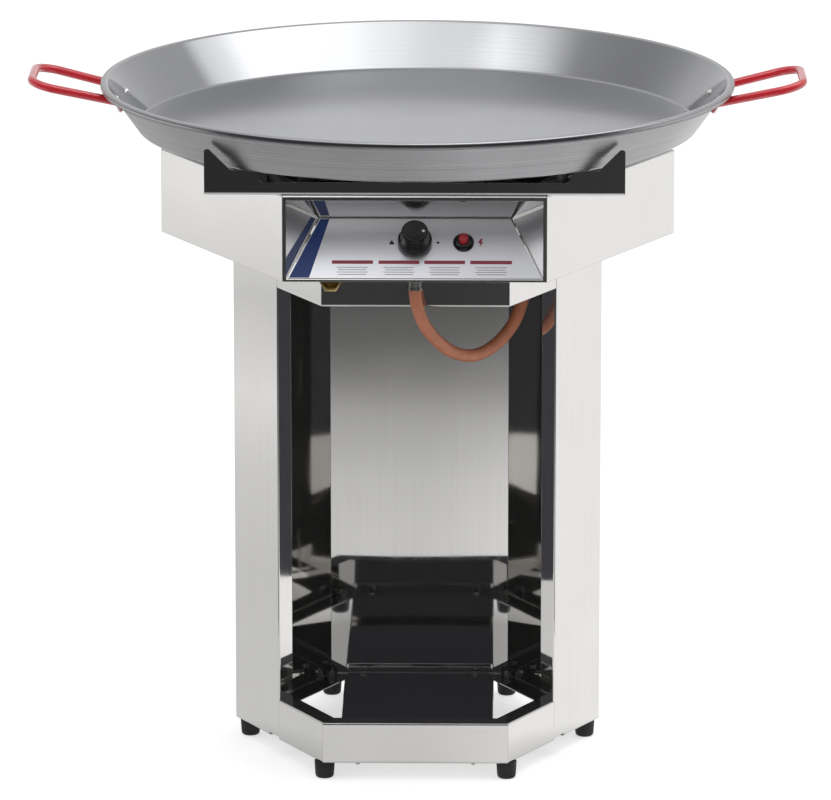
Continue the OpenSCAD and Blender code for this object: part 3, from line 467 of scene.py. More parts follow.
POLISHED = dict(color=(0.80, 0.79, 0.775), roughness=0.035, metallic=0.975, mottle=0.035, uneven=0.015,
                cells=220.0)
STEEL_UPRIGHT = SheetFinish("polished_sheet_upright", grain=Grain.UPRIGHT, **POLISHED)
STEEL_ACROSS = SheetFinish("polished_sheet_across", grain=Grain.ACROSS, **POLISHED)
STEEL_DEEP = SheetFinish("polished_sheet_deep", grain=Grain.DEEP, **POLISHED)
SUPPORT_STEEL = SheetFinish("support_sheet", (0.66, 0.66, 0.67), 0.1, 1.0, 0.06, 0.04, 220.0,
                            grain=Grain.ACROSS)
ZINC = Finish("bright_zinc", (0.66, 0.66, 0.64), 0.28, 1.0, 0.2, 0.08, 140.0, 0.00003)
BRASS = Finish("machined_brass", (0.78, 0.60, 0.26), 0.25, 1.0, 0.25, 0.08, 90.0, 0.00003)
COPPER = Finish("drawn_copper", (0.80, 0.42, 0.26), 0.3, 1.0, 0.3, 0.1, 70.0, 0.00003)
IRON = Finish("heat_treated_iron", (0.11, 0.105, 0.10), 0.55, 0.7, 0.45, 0.12, 45.0, 0.00015, 700.0)
CERAMIC = Finish("glazed_ceramic", (0.86, 0.84, 0.78), 0.2, 0.0, 0.08, 0.05, 120.0, 0.00002)
SLEEVE = Finish("satin_sleeve", (0.04, 0.04, 0.04), 0.5, 0.0, 0.2, 0.1, 200.0, 0.00003)
# Rougher zinc for the hose sleeves; its darker colour is painted shade, standing in for the dark
# surroundings that the sleeves reflect
DULL_SHADED_ZINC = Finish("dull_zinc_painted_shade", (0.34, 0.34, 0.33), 0.38, 1.0, 0.3, 0.1, 140.0, 0.00003)
RIVET_STEEL = Finish("bright_rivet", (0.82, 0.82, 0.82), 0.14, 1.0, 0.1, 0.05, 200.0, 0.00002)
FASCIA = Finish("silver_fascia", (0.86, 0.87, 0.92), 0.3, 0.88, 0.02, 0.02, 500.0, 0.0000005, 2500.0,
                Grain.ACROSS)
FOOT_RUBBER = Finish("matt_foot_rubber", (0.022, 0.022, 0.024), 0.55, 0.0, 0.3, 0.1, 90.0, 0.00008,
                     1500.0)
BLACK_PLASTIC = Finish("moulded_black", (0.012, 0.012, 0.014), 0.22, 0.0, 0.25, 0.06, 160.0, 0.00002,
                       2200.0)
RED_PLASTIC = Finish("moulded_red", (0.48, 0.03, 0.045), 0.25, 0.0, 0.15, 0.06, 200.0, 0.00002, 2200.0)
HOSE_RUBBER = Finish("satin_hose_rubber", (0.56, 0.20, 0.105), 0.42, 0.0, 0.18, 0.08, 60.0, 0.00006,
                     1100.0)
RED_PAINT = Finish("red_enamel", (0.74, 0.018, 0.035), 0.3, 0.0, 0.12, 0.06, 70.0, 0.00004, 500.0,
                   coat=1.0, coat_ior=1.6)
PAN_STEEL = PanFinish("turned_pan_steel", (0.46, 0.465, 0.48), 0.17, 1.0, 0.1, 0.04, 7.5)
PAN_OUTSIDE = PanFinish("brushed_pan_outside", (0.41, 0.41, 0.42), 0.3, 1.0, 0.22, 0.06, 7.5,
                        wall_gloss=0.27, rings=420.0)
INK = dict(roughness=0.4, mottle=0.08, uneven=0.04, cells=400.0, relief=0.000005, relief_cells=3000.0)
WHITE_INK = Finish("white_ink", (0.85, 0.85, 0.83), **INK)
BLUE_INK = Finish("blue_ink", (0.012, 0.045, 0.20), **INK)
RED_INK = Finish("red_ink", (0.36, 0.05, 0.08), **INK)
GREY_INK = Finish("grey_ink", (0.33, 0.34, 0.38), **INK)
DARK_INK = Finish("dark_ink", (0.03, 0.03, 0.04), **INK)

SLOT_FINISHES: dict[str, Finish] = {
    "polished_steel": STEEL_UPRIGHT,
    "support_steel": SUPPORT_STEEL,
    "zinc_steel": ZINC,
    "fascia_print": FASCIA,
    "foot_rubber": FOOT_RUBBER,
    "burner_iron": IRON,
    "brass": BRASS,
    "copper_tube": COPPER,
    "white_ceramic": CERAMIC,
    "lead_sleeve": SLEEVE,
    "black_plastic": BLACK_PLASTIC,
    "red_plastic": RED_PLASTIC,
    "hose_rubber": HOSE_RUBBER,
    "pan_steel": PAN_STEEL,
    "red_paint": RED_PAINT,
}
NODE_SLOTS: dict[str, str] = {row["node"]: row["material_slot"] for row in frame["record"]["subparts"]}
JOINTS: dict[str, dict] = {row["name"]: row for row in frame["record"]["behaviour"]["joints"]}


def node_box(node: str) -> tuple[Vector, Vector]:
    """Return the low and the high corner of a CAD node's box."""
    low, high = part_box(node)
    return Vector(low), Vector(high)


def node_middle(node: str) -> Vector:
    """Return the middle of a CAD node's box."""
    low, high = node_box(node)
    return (low + high) / 2


def panel_place(across: float = 0.0, up: float = 0.0, out: float = 0.0) -> Matrix:
    """Return the frame of a place on the sloping control panel.

    Args:
        across: Distance to the right of the knob's axis.
        up: Distance up the slope from the knob's axis.
        out: Distance in front of the panel's sheet.

    Returns:
        A matrix whose X runs across, Y up the slope and Z out of the panel.
    """
    out_way = Vector(JOINTS["knob_turn"]["axis"])
    across_way = Vector((1.0, 0.0, 0.0))
    turn = Matrix((across_way, out_way.cross(across_way), out_way)).transposed().to_4x4()
    return Matrix.Translation(JOINTS["knob_turn"]["pos_m"]) @ turn @ Matrix.Translation((across, up, out))


def dress(piece: bpy.types.Object, finish: Finish) -> None:
    """Give a piece one finish all over."""
    piece.data.materials.clear()
    piece.data.materials.append(finish.material())


def fit(piece: bpy.types.Object, finish: Finish, body: str, slot: str, *nodes: str) -> None:
    """Dress a finished piece, and let it ride on a body and stand for the CAD nodes that it follows.

    Args:
        piece: The piece, in place.
        finish: Its finish.
        body: Body that it moves with.
        slot: The record's material slot; not used.
        nodes: CAD nodes that it stands for.
    """
    dress(piece, finish)
    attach(piece, body)
    if nodes:
        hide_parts(*nodes)
    LOG.info("%s rides on %s", piece.name, body)


@dataclass(frozen=True)
class Edge:
    """How a piece's edges are rounded."""

    width: float
    segments: int = 2
    # Least angle in degrees of an edge that is rounded
    angle: float = 30.0


class Bench:
    """Modelling steps that the pieces share."""

    # Side of the square that a piece is started from
    START_SIDE = 0.01
    # Distances below which points count as one, in a mesh and across a mirror plane
    DOUBLE_GAP = 1e-6
    MIRROR_GAP = 1e-5

    @staticmethod
    def take(name: str) -> bpy.types.Object:
        """Name the object that an operator has just added.

        Args:
            name: Name of the object and of its mesh.

        Returns:
            The object.
        """
        piece = bpy.context.active_object
        piece.name = name
        piece.data.name = name
        return piece

    @staticmethod
    def clear() -> None:
        """Deselect everything, so that the next operator acts on its own piece alone."""
        bpy.ops.object.select_all(action="DESELECT")

    @staticmethod
    def only(piece: bpy.types.Object) -> None:
        """Select one piece and nothing else.

        Args:
            piece: The piece.
        """
        Bench.clear()
        piece.select_set(True)
        bpy.context.view_layer.objects.active = piece

    @staticmethod
    def square(name: str, side: float = START_SIDE) -> bpy.types.Object:
        """Add a flat square to start a piece from.

        Args:
            name: Name of the piece.
            side: Length of its sides.

        Returns:
            The square, round the origin.
        """
        Bench.clear()
        bpy.ops.mesh.primitive_plane_add(size=side)
        return Bench.take(name)

    @staticmethod
    @contextmanager
    def editing(piece: bpy.types.Object) -> Iterator[None]:
        """Work on one piece in edit mode.

        Args:
            piece: The piece.

        Yields:
            Nothing; edit mode ends with the block.
        """
        Bench.only(piece)
        bpy.ops.object.mode_set(mode="EDIT")
        bpy.ops.mesh.select_all(action="SELECT")
        yield
        bpy.ops.object.mode_set(mode="OBJECT")

    @staticmethod
    def pull(step: Sequence[float]) -> None:
        """In edit mode, extrude what is selected by a step."""
        bpy.ops.mesh.extrude_region_move(TRANSFORM_OT_translate={"value": step})

    @staticmethod
    def trace(points: Sequence[Point]) -> None:
        """In edit mode, draw all that is selected together into one point and pull a line from it.

        Args:
            points: Corners of the line.
        """
        bpy.ops.mesh.merge(type="CENTER")
        bpy.ops.transform.translate(value=points[0])
        for start, end in pairwise(points):
            Bench.pull(tuple(b - a for a, b in zip(start, end)))
        bpy.ops.mesh.select_all(action="SELECT")

    @staticmethod
    def close_up() -> None:
        """In edit mode, merge doubled points and turn the faces outwards."""
        bpy.ops.mesh.select_all(action="SELECT")
        bpy.ops.mesh.remove_doubles(threshold=Bench.DOUBLE_GAP)
        bpy.ops.mesh.normals_make_consistent(inside=False)

    @staticmethod
    def lathe(name: str, profile: Profile, steps: int = 64) -> bpy.types.Object:
        """Turn a profile round the Z axis.

        Args:
            name: Name of the piece.
            profile: Radius and height of each corner; a ring's profile ends where it starts.
            steps: Facets round the axis.

        Returns:
            The turned piece.
        """
        piece = Bench.square(name)
        with Bench.editing(piece):
            Bench.trace([(radius, 0.0, height) for radius, height in profile])
            bpy.ops.mesh.spin(steps=steps, angle=2 * math.pi, center=(0, 0, 0), axis=(0, 0, 1))
            Bench.close_up()
        return piece

    @staticmethod
    def plate(name: str, corners: Profile, thickness: float) -> bpy.types.Object:
        """Cut a flat plate to an outline.

        Args:
            name: Name of the piece.
            corners: Corners of the outline, counter-clockwise.
            thickness: Thickness along Z.

        Returns:
            The plate, standing on z = 0.
        """
        piece = Bench.square(name)
        with Bench.editing(piece):
            Bench.trace([(x, y, 0.0) for x, y in corners])
            bpy.ops.mesh.edge_face_add()
            Bench.pull((0.0, 0.0, thickness))
            Bench.close_up()
        return piece

    @staticmethod
    def settle(piece: bpy.types.Object, place: Matrix | None = None) -> bpy.types.Object:
        """Put a piece's place into its mesh.

        Args:
            piece: The piece.
            place: Where it goes from the origin, unless it is there already.

        Returns:
            The piece.
        """
        Bench.only(piece)
        if place:
            piece.matrix_world = place
        bpy.ops.object.transform_apply(location=True, rotation=True, scale=True)
        return piece

    @staticmethod
    def copy(piece: bpy.types.Object, name: str, place: Matrix) -> bpy.types.Object:
        """Copy a piece with a mesh of its own.

        Args:
            piece: The pattern.
            name: Name of the copy.
            place: Where the copy goes.

        Returns:
            The copy.
        """
        Bench.only(piece)
        bpy.ops.object.duplicate(linked=False)
        return Bench.settle(Bench.take(name), place)

    @staticmethod
    def apply(piece: bpy.types.Object, kind: str, **settings: object) -> None:
        """Add a modifier and apply it.

        Args:
            piece: The piece.
            kind: Blender's name for the modifier type.
            settings: Properties to set on the modifier.
        """
        Bench.only(piece)
        modifier = piece.modifiers.new(kind.lower(), kind)
        for key, value in settings.items():
            setattr(modifier, key, value)
        bpy.ops.object.modifier_apply(modifier=modifier.name)

    @staticmethod
    def ease(piece: bpy.types.Object, edge: Edge) -> None:
        """Round a piece's edges.

        Args:
            piece: The piece.
            edge: How they are rounded.
        """
        Bench.apply(piece, "BEVEL", width=edge.width, segments=edge.segments, limit_method="ANGLE",
                    angle_limit=math.radians(edge.angle))
        Bench.smooth(piece)

    @staticmethod
    def smooth(piece: bpy.types.Object, angle: float = 35.0) -> None:
        """Shade a piece smooth across all edges flatter than an angle in degrees."""
        Bench.only(piece)
        bpy.ops.object.shade_smooth_by_angle(angle=math.radians(angle))

    @staticmethod
    def combine(piece: bpy.types.Object, tool: bpy.types.Object, joining: Joining) -> None:
        """Cut a tool out of a piece, or weld it on, and throw the tool away.

        Args:
            piece: The piece that stays.
            tool: The piece that is used up.
            joining: Whether it is cut out or welded on.
        """
        Bench.apply(piece, "BOOLEAN", object=tool, operation=joining.value, solver="EXACT")
        bpy.data.objects.remove(tool)


@dataclass(frozen=True)
class SoftBox:
    """A lamp that looks straight down, graded over its face."""

    name: str
    place: Point
    size: Size
    turn: float
    watts: float
    # Share of the light at places from 0 to 1 along the width and along the depth
    along: Stops
    deep: Stops

    def build(self) -> None:
        """Hang the lamp and grade its face."""
        data = bpy.data.lights.new(self.name, "AREA")
        data.shape = "RECTANGLE"
        data.size, data.size_y = self.size
        data.energy = self.watts
        data.use_nodes = True
        graph = Graph(data.node_tree)
        across, deep, _ = graph.axes(graph.node("ShaderNodeNewGeometry").outputs["Parametric"])
        share = graph.math("MULTIPLY", graph.fade(across, self.along), graph.fade(deep, self.deep))
        graph.link(share, data.node_tree.nodes["Emission"].inputs["Strength"])
        lamp = bpy.data.objects.new(self.name, data)
        lamp.location = self.place
        lamp.rotation_euler = (0.0, 0.0, math.radians(self.turn))
        bpy.context.scene.collection.objects.link(lamp)


KEY_LIGHT = SoftBox(
    "key_softbox", place=(1.29, 0.01, 2.85), size=(3.9, 1.2), turn=36.0, watts=26.0,
    along=((0.0, 0.0), (0.154, 0.78), (0.213, 0.87), (0.28, 1.0), (0.654, 1.0), (0.77, 0.6), (0.9, 0.42),
           (1.0, 0.0)),
    deep=((0.0, 0.0), (0.12, 1.0), (0.88, 1.0), (1.0, 0.0)),
)
# It hangs a little lower than the other, because of two lamps in one plane only one shows in mirrors
SPOT_LIGHT = SoftBox(
    "spot_softbox", place=(-0.85, -0.60, 2.80), size=(2.4, 0.7), turn=-25.0, watts=9.0,
    along=((0.0, 0.0), (0.5, 1.0), (1.0, 0.0)),
    deep=((0.0, 0.0), (0.5, 1.0), (1.0, 0.0)),
)


@dataclass
class Studio:
    """White studio with a dark side behind the camera, as the polished sheet reflects it."""

    camera_place: Point = (0.1117, -8.5031, 2.5572)
    camera_pitch: float = 13.95
    camera_turn: float = 0.77
    lens_mm: float = 297.4
    sensor_mm: float = 36.0
    far_end: float = 200.0
    lamps: tuple[SoftBox, ...] = (KEY_LIGHT, SPOT_LIGHT)
    floor_size: float = 80.0
    floor_white: float = 0.9
    floor_lift: float = 0.55
    fill: float = 0.62
    dark_tint: Color = (0.0, 0.001, 0.005)
    # Brightness of the floor in reflections: by its distance in front of the middle, and from left to right
    floor_deep: Stops = (
        (-2.7, 0.05), (-2.3, 0.10), (-1.8, 0.22), (-1.53, 0.385), (-1.3, 0.62), (-0.9, 0.91), (-0.6, 1.0),
    )
    floor_across: Stops = (
        (-3.2, 0.95), (-2.75, 0.82), (-2.35, 0.68), (-1.8, 0.87), (-1.4, 0.73), (-0.9, 0.67), (0.0, 0.69),
        (0.3, 1.0),
    )
    # The same outwards from the middle, in the shadow under the stand
    floor_round: Stops = ((0.16, 0.5), (0.30, 1.0))
    # Brightness of the room in reflections, from the dark front to the back and the top, where a
    # direction's height counts half as much as its depth
    room: Stops = ((-0.5, 0.02), (-0.1, 0.40), (0.12, 0.74), (0.4, 0.8))
    height_share: float = 0.5
    # Its share from left to right, and what straight above adds
    room_across: Stops = ((-0.85, 0.4), (-0.6, 0.85), (0.0, 1.0), (0.75, 0.8))
    room_top: Stops = ((0.88, 0.0), (0.96, 0.2))
    # Dark cloths at both sides of the front
    flag_place: Size = (0.535, -0.592)
    flag_size: Size = (0.5, 1.3)
    flag_turn: float = 60.0
    flag_color: Color = (0.06, 0.062, 0.072)
    # White card that hangs under the pan's front and shows in the fascia
    card_low: Point = (-0.20, -0.42, 0.787)
    card_high: Point = (0.20, -0.287, 0.787)
    card_glow: Stops = ((-0.10, 1.2), (0.12, 0.7))

    def build(self) -> None:
        """Make the camera, the world, the floor, the flags, the card and the lamps."""
        self.camera()
        self.world()
        self.floor()
        self.flags()
        self.card()
        for lamp in self.lamps:
            lamp.build()
        bpy.context.scene.view_settings.view_transform = "Standard"

    def camera(self) -> None:
        """Place the camera at the photograph's viewing angle."""
        data = bpy.data.cameras.new("camera")
        data.lens = self.lens_mm
        data.sensor_width = self.sensor_mm
        data.clip_end = self.far_end
        camera = bpy.data.objects.new("camera", data)
        camera.location = self.camera_place
        camera.rotation_euler = (math.radians(90 - self.camera_pitch), 0.0, math.radians(self.camera_turn))
        bpy.context.scene.collection.objects.link(camera)
        bpy.context.scene.camera = camera

    def world(self) -> None:
        """Make a world that is white to the eye, dark in front for reflections, and an even fill."""
        world = bpy.data.worlds.new("studio")
        bpy.context.scene.world = world
        world.use_nodes = True
        graph = Graph(world.node_tree)
        across, deep, up = graph.axes(graph.node("ShaderNodeTexCoord").outputs["Generated"])
        lean = graph.math("MULTIPLY_ADD", up, self.height_share, deep)
        room = graph.math("MULTIPLY", graph.fade(lean, self.room), graph.fade(across, self.room_across))
        room = graph.math("ADD", room, graph.fade(up, self.room_top))
        path = graph.node("ShaderNodeLightPath").outputs
        tinted = graph.mix(room, self.dark_tint, WHITE)
        studio = graph.mix(path["Is Glossy Ray"], (self.fill,) * 3, tinted)
        seen = graph.mix(path["Is Camera Ray"], studio, WHITE)
        graph.link(seen, world.node_tree.nodes["Background"].inputs["Color"])

    @staticmethod
    def sheet(name: str, place: Matrix, material: bpy.types.Material) -> bpy.types.Object:
        """Lay out a flat sheet of the studio.

        Args:
            name: Name of the sheet.
            place: What turns a square metre round the origin into the sheet.
            material: Its material.

        Returns:
            The sheet.
        """
        sheet = Bench.square(name, 1.0)
        sheet.data.transform(place)
        sheet.data.materials.append(material)
        return sheet

    @classmethod
    def mirror_sheet(cls, name: str, place: Matrix, material: bpy.types.Material) -> None:
        """Lay out a sheet that shows only in reflections.

        Args:
            name: Name of the sheet.
            place: What turns a square metre round the origin into the sheet.
            material: Its material.
        """
        sheet = cls.sheet(name, place, material)
        sheet.visible_camera = False
        sheet.visible_diffuse = False
        sheet.visible_shadow = False

    def floor(self) -> None:
        """Lay a white floor that keeps the shadow, and darkens towards the camera in reflections."""
        graph = ShaderGraph("studio_floor")
        across, deep, _ = graph.axes(graph.place)
        mirrored = graph.math("MULTIPLY", graph.fade(deep, self.floor_deep),
                              graph.fade(across, self.floor_across))
        mirrored = graph.math("MULTIPLY", mirrored, graph.fade(graph.length(graph.place), self.floor_round))
        path = graph.node("ShaderNodeLightPath").outputs
        paper = graph.node("ShaderNodeBsdfDiffuse")
        graph.link(graph.mix(path["Is Glossy Ray"], (self.floor_white,) * 3, BLACK), paper.inputs["Color"])
        lift = graph.math("MULTIPLY", path["Is Camera Ray"], self.floor_lift)
        glow = graph.node("ShaderNodeEmission")
        graph.link(graph.mix(path["Is Glossy Ray"], lift, mirrored), glow.inputs["Color"])
        both = graph.node("ShaderNodeAddShader")
        graph.link(paper.outputs[0], both.inputs[0])
        graph.link(glow.outputs[0], both.inputs[1])
        graph.surface(both.outputs[0])
        self.sheet("studio_floor", Matrix.Scale(self.floor_size, 4), graph.material)

    def flags(self) -> None:
        """Stand a dark cloth at each side of the front."""
        graph = ShaderGraph("dark_cloth")
        graph.set(Base_Color=(*self.flag_color, 1.0), Roughness=1.0)
        width, height = self.flag_size
        upright = Matrix.Rotation(math.radians(90), 4, "X") @ Matrix.Diagonal((width, height, 1.0, 1.0))
        for name, side in (("flag_left", -1), ("flag_right", 1)):
            turn = Matrix.Rotation(math.radians(self.flag_turn * side), 4, "Z")
            place = Matrix.Translation((side * self.flag_place[0], self.flag_place[1], height / 2))
            self.mirror_sheet(name, place @ turn @ upright, graph.material)

    def card(self) -> None:
        """Hang a card that glows downwards."""
        graph = ShaderGraph("fascia_card")
        glow = graph.node("ShaderNodeEmission")
        graph.link(graph.fade(graph.axes(graph.place)[0], self.card_glow), glow.inputs["Color"])
        sides = graph.node("ShaderNodeMixShader")
        graph.link(graph.node("ShaderNodeNewGeometry").outputs["Backfacing"], sides.inputs["Fac"])
        graph.link(glow.outputs[0], sides.inputs[1])
        graph.link(graph.node("ShaderNodeBsdfTransparent").outputs[0], sides.inputs[2])
        graph.surface(sides.outputs[0])
        low, high = Vector(self.card_low), Vector(self.card_high)
        face_down = Matrix.Diagonal((high.x - low.x, low.y - high.y, -1.0, 1.0))
        self.mirror_sheet("fascia_card", Matrix.Translation((low + high) / 2) @ face_down, graph.material)


@dataclass
class GasHose:
    """The rubber hose that hangs from the valve's outlet and rises to the jet."""

    diameter: float = 0.016
    length: float = 0.331
    # Middle line in millimetres, the same points as the solid's
    route: tuple[Point, ...] = (
        (0, -230, 655), (0, -230, 641), (1.5, -228, 626), (5, -224.5, 612), (9.5, -218.5, 598.5),
        (16, -211, 586), (23.5, -202, 574.5), (32, -191.5, 564), (41, -181, 554.5), (51, -169, 547),
        (62, -156.5, 541.5), (72.5, -143.5, 538.5), (83.5, -130.5, 539), (94.5, -117.5, 542.5),
        (105, -105, 548.5), (114.5, -93.5, 557), (123, -84, 568), (129.5, -76, 581.5),
        (134.2, -70.6, 596), (136.4, -67.8, 608.5), (137, -67, 620), (137, -67, 632),
    )

    def build(self) -> None:
        """Lay the hose along its route as one smooth curve."""
        points = [Vector(point) / MM_PER_METRE for point in self.route]
        data = bpy.data.curves.new("gas_hose_rubber", "CURVE")
        data.dimensions = "3D"
        data.bevel_depth = self.diameter / 2
        data.bevel_resolution = 8
        data.resolution_u = 6
        data.use_fill_caps = True
        spline = data.splines.new("BEZIER")
        spline.bezier_points.add(len(points) - 1)
        for knot, point in zip(spline.bezier_points, points):
            knot.co = point
            knot.handle_left_type = "AUTO"
            knot.handle_right_type = "AUTO"
        hose = bpy.data.objects.new("gas_hose_rubber", data)
        bpy.context.scene.collection.objects.link(hose)
        fit(hose, HOSE_RUBBER, "stand", "hose_rubber", "gas_hose")


def bent_profile(corners: Profile, radii: Sequence[float], steps: int = 8, shoulder: float = 0.0004
                 ) -> list[tuple[float, float]]:
    """Round the inner corners of a line.

    Args:
        corners: Corners of the line.
        radii: Radius at each inner corner.
        steps: Steps round each bend.
        shoulder: Distance from a bend of one more point, which lets the straights shade flat.

    Returns:
        The points of the rounded line.
    """
    points = [Vector(corner) for corner in corners]
    line = [points[0]]
    for before, corner, after, radius in zip(points, points[1:], points[2:], radii):
        along = (corner - before).normalized()
        onward = (after - corner).normalized()
        turn = math.atan2(along.x * onward.y - along.y * onward.x, along.dot(onward))
        side = Vector((-along.y, along.x)) * math.copysign(1.0, turn)
        bite = radius * math.tan(abs(turn) / 2)
        centre = corner - along * bite + side * radius
        line.append(corner - along * (bite + shoulder))
        for step in range(steps + 1):
            angle = abs(turn) * step / steps
            line.append(centre - side * radius * math.cos(angle) + along * radius * math.sin(angle))
        line.append(corner + onward * (bite + shoulder))
    line.append(points[-1])
    return [tuple(point) for point in line]


@dataclass
class PaellaPan:
    """The pan of pressed sheet, and its two riveted handles of bent rod."""

    floor_radius: float = 0.352
    sheet: float = 0.002
    lip_width: float = 0.008
    roll: float = 0.009
    curl: float = 0.004
    bends: tuple[float, ...] = (0.006, 0.0028, 0.0030, 0.0030)
    steps: int = 256
    # Faces whose normal points further down than this are the pan's outside
    outside_tilt: float = -0.1
    rod: float = 0.011
    rod_facets: int = 24
    reach: float = 0.087
    root_width: float = 0.104
    tip_width: float = 0.128
    rise: float = math.radians(13)
    corner: float = 0.028
    corner_steps: int = 12
    lip_gap: float = 0.0008
    past_wall: float = 0.013
    rivet_drop: float = 0.008
    tab: float = 0.004
    tab_gap: float = 0.0003
    rod_gap: float = 0.0009
    tab_width: float = 0.016
    tab_above: float = 0.006
    tab_below: float = 0.004
    tab_facets: int = 32
    tab_edge: Edge = Edge(0.0007)
    smooth_angle: float = 50.0
    foot: float = field(init=False)
    height: float = field(init=False)
    radius: float = field(init=False)

    def __post_init__(self) -> None:
        """Take the pan's radius, height and place from its solid."""
        low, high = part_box("pan")
        self.foot = low[2]
        self.height = high[2] - low[2]
        self.radius = (high[0] - low[0]) / 2

    @property
    def wall_slope(self) -> float:
        """How far the wall leans out for each metre that it rises."""
        return (self.radius - self.lip_width - self.floor_radius) / (self.height - self.sheet)

    @property
    def rod_height(self) -> float:
        """Height of the handle rod's middle below the lip, above the pan's foot."""
        return self.height - self.roll - self.rod / 2 - self.lip_gap

    def wall_radius(self, height: float) -> float:
        """Work out the radius of the wall's outside.

        Args:
            height: Height above the pan's foot.

        Returns:
            The radius there.
        """
        lean = math.atan(self.wall_slope)
        half = self.sheet / 2
        return self.floor_radius + self.wall_slope * (height - half) + half / math.cos(lean)

    def build(self) -> None:
        """Make the pan and the handles."""
        self.dish()
        right = self.handle()
        left = Bench.copy(right, "handle_rod_left", Matrix.Rotation(math.pi, 4, "Z"))
        for piece, node in ((right, "right_handle"), (left, "left_handle")):
            fit(piece, RED_PAINT, "paella_pan", "red_paint", node)

    def dish(self) -> None:
        """Turn the pan's middle line and give it the sheet's thickness."""
        half = self.sheet / 2
        edge = self.radius - half
        line = bent_profile(
            ((0.0, half), (self.floor_radius, half), (self.radius - self.lip_width, self.height - half),
             (edge, self.height - half), (edge, self.height - self.roll + half),
             (edge - self.curl, self.height - self.roll + half)),
            self.bends,
        )
        dish = Bench.lathe("pan_dish", line, self.steps)
        Bench.apply(dish, "SOLIDIFY", thickness=self.sheet, offset=0.0)
        Bench.smooth(dish)
        Bench.settle(dish, Matrix.Translation((0.0, 0.0, self.foot)))
        fit(dish, PAN_STEEL, "paella_pan", "pan_steel", "pan")
        dish.data.materials.append(PAN_OUTSIDE.material())
        for face in dish.data.polygons:
            face.material_index = int(face.normal.z < self.outside_tilt)

    def handle(self) -> bpy.types.Object:
        """Bend half of the right handle, cut it to the pan's wall, mirror it and weld on its tabs.

        Returns:
            The whole handle.
        """
        flare = (self.tip_width - self.root_width) / 2 / self.reach
        run = (self.radius - self.wall_radius(self.rod_height)) / (
            math.cos(self.rise) - self.wall_slope * math.sin(self.rise))
        tip = Vector((self.reach, self.tip_width / 2, 0.0))
        root = Vector((-(run + self.past_wall), self.root_width / 2 - (run + self.past_wall) * flare, 0.0))
        inward = (root - tip).normalized()
        turn = Vector((0.0, 1.0, 0.0)).angle(inward)
        bite = self.corner * math.tan(turn / 2)
        Bench.clear()
        bpy.ops.mesh.primitive_circle_add(vertices=self.rod_facets, radius=self.rod / 2,
                                          location=(self.reach, 0.0, 0.0), rotation=(math.pi / 2, 0.0, 0.0))
        rod = Bench.settle(Bench.take("handle_rod_right"))
        with Bench.editing(rod):
            Bench.pull((0.0, tip.y - bite, 0.0))
            bpy.ops.mesh.spin(steps=self.corner_steps, angle=turn, axis=(0, 0, -1),
                              center=(tip.x - self.corner, tip.y - bite, 0.0))
            Bench.pull(inward * ((root - tip).length - bite))
            bpy.ops.mesh.edge_face_add()
        place = Matrix.Translation((self.radius, 0.0, self.foot + self.rod_height))
        Bench.settle(rod, place @ Matrix.Rotation(-self.rise, 4, "Y"))
        seat = self.rivet_seat(self.rod_height - run * math.sin(self.rise) - self.rivet_drop,
                               self.root_width / 2 - run * flare)
        with Bench.editing(rod):
            bpy.ops.mesh.bisect(plane_co=seat @ Vector((0.0, 0.0, self.rod_gap)), plane_no=seat.col[2].xyz,
                                clear_inner=True, use_fill=True)
        tab = self.tab_piece(seat)
        for piece in (rod, tab):
            Bench.apply(piece, "MIRROR", use_axis=(False, True, False),
                        merge_threshold=Bench.MIRROR_GAP)
            with Bench.editing(piece):
                Bench.close_up()
        Bench.combine(rod, tab, Joining.WELD)
        Bench.smooth(rod, self.smooth_angle)
        return rod

    def rivet_seat(self, height: float, aside: float) -> Matrix:
        """Return the frame of a rivet on the right of the pan's wall, with Z out of the wall.

        Args:
            height: Height above the pan's foot.
            aside: Distance from the handle's middle.

        Returns:
            A matrix whose X runs down the wall.
        """
        radius = self.wall_radius(height)
        lean = math.atan(self.wall_slope)
        return (Matrix.Rotation(math.asin(aside / radius), 4, "Z")
                @ Matrix.Translation((radius, 0.0, self.foot + height))
                @ Matrix.Rotation(math.pi / 2 + lean, 4, "Y"))

    def tab_piece(self, seat: Matrix) -> bpy.types.Object:
        """Stretch a round plate into the flat tab under a rivet.

        Args:
            seat: Frame of the rivet.

        Returns:
            The tab, in place.
        """
        up = self.rivet_drop / math.cos(math.atan(self.wall_slope)) + self.tab_above - self.tab_width / 2
        Bench.clear()
        bpy.ops.mesh.primitive_cylinder_add(vertices=self.tab_facets, radius=self.tab_width / 2,
                                            depth=self.tab - self.tab_gap,
                                            location=(0.0, 0.0, (self.tab + self.tab_gap) / 2))
        tab = Bench.settle(Bench.take("handle_tab"))
        for sign, distance in ((-1, up), (1, self.tab_below)):
            Bench.only(tab)
            for vertex in tab.data.vertices:
                vertex.select = vertex.co.x * sign > Bench.MIRROR_GAP
            bpy.ops.object.mode_set(mode="EDIT")
            bpy.ops.transform.translate(value=(sign * distance, 0.0, 0.0))
            bpy.ops.object.mode_set(mode="OBJECT")
        Bench.ease(tab, self.tab_edge)
        return Bench.settle(tab, seat)


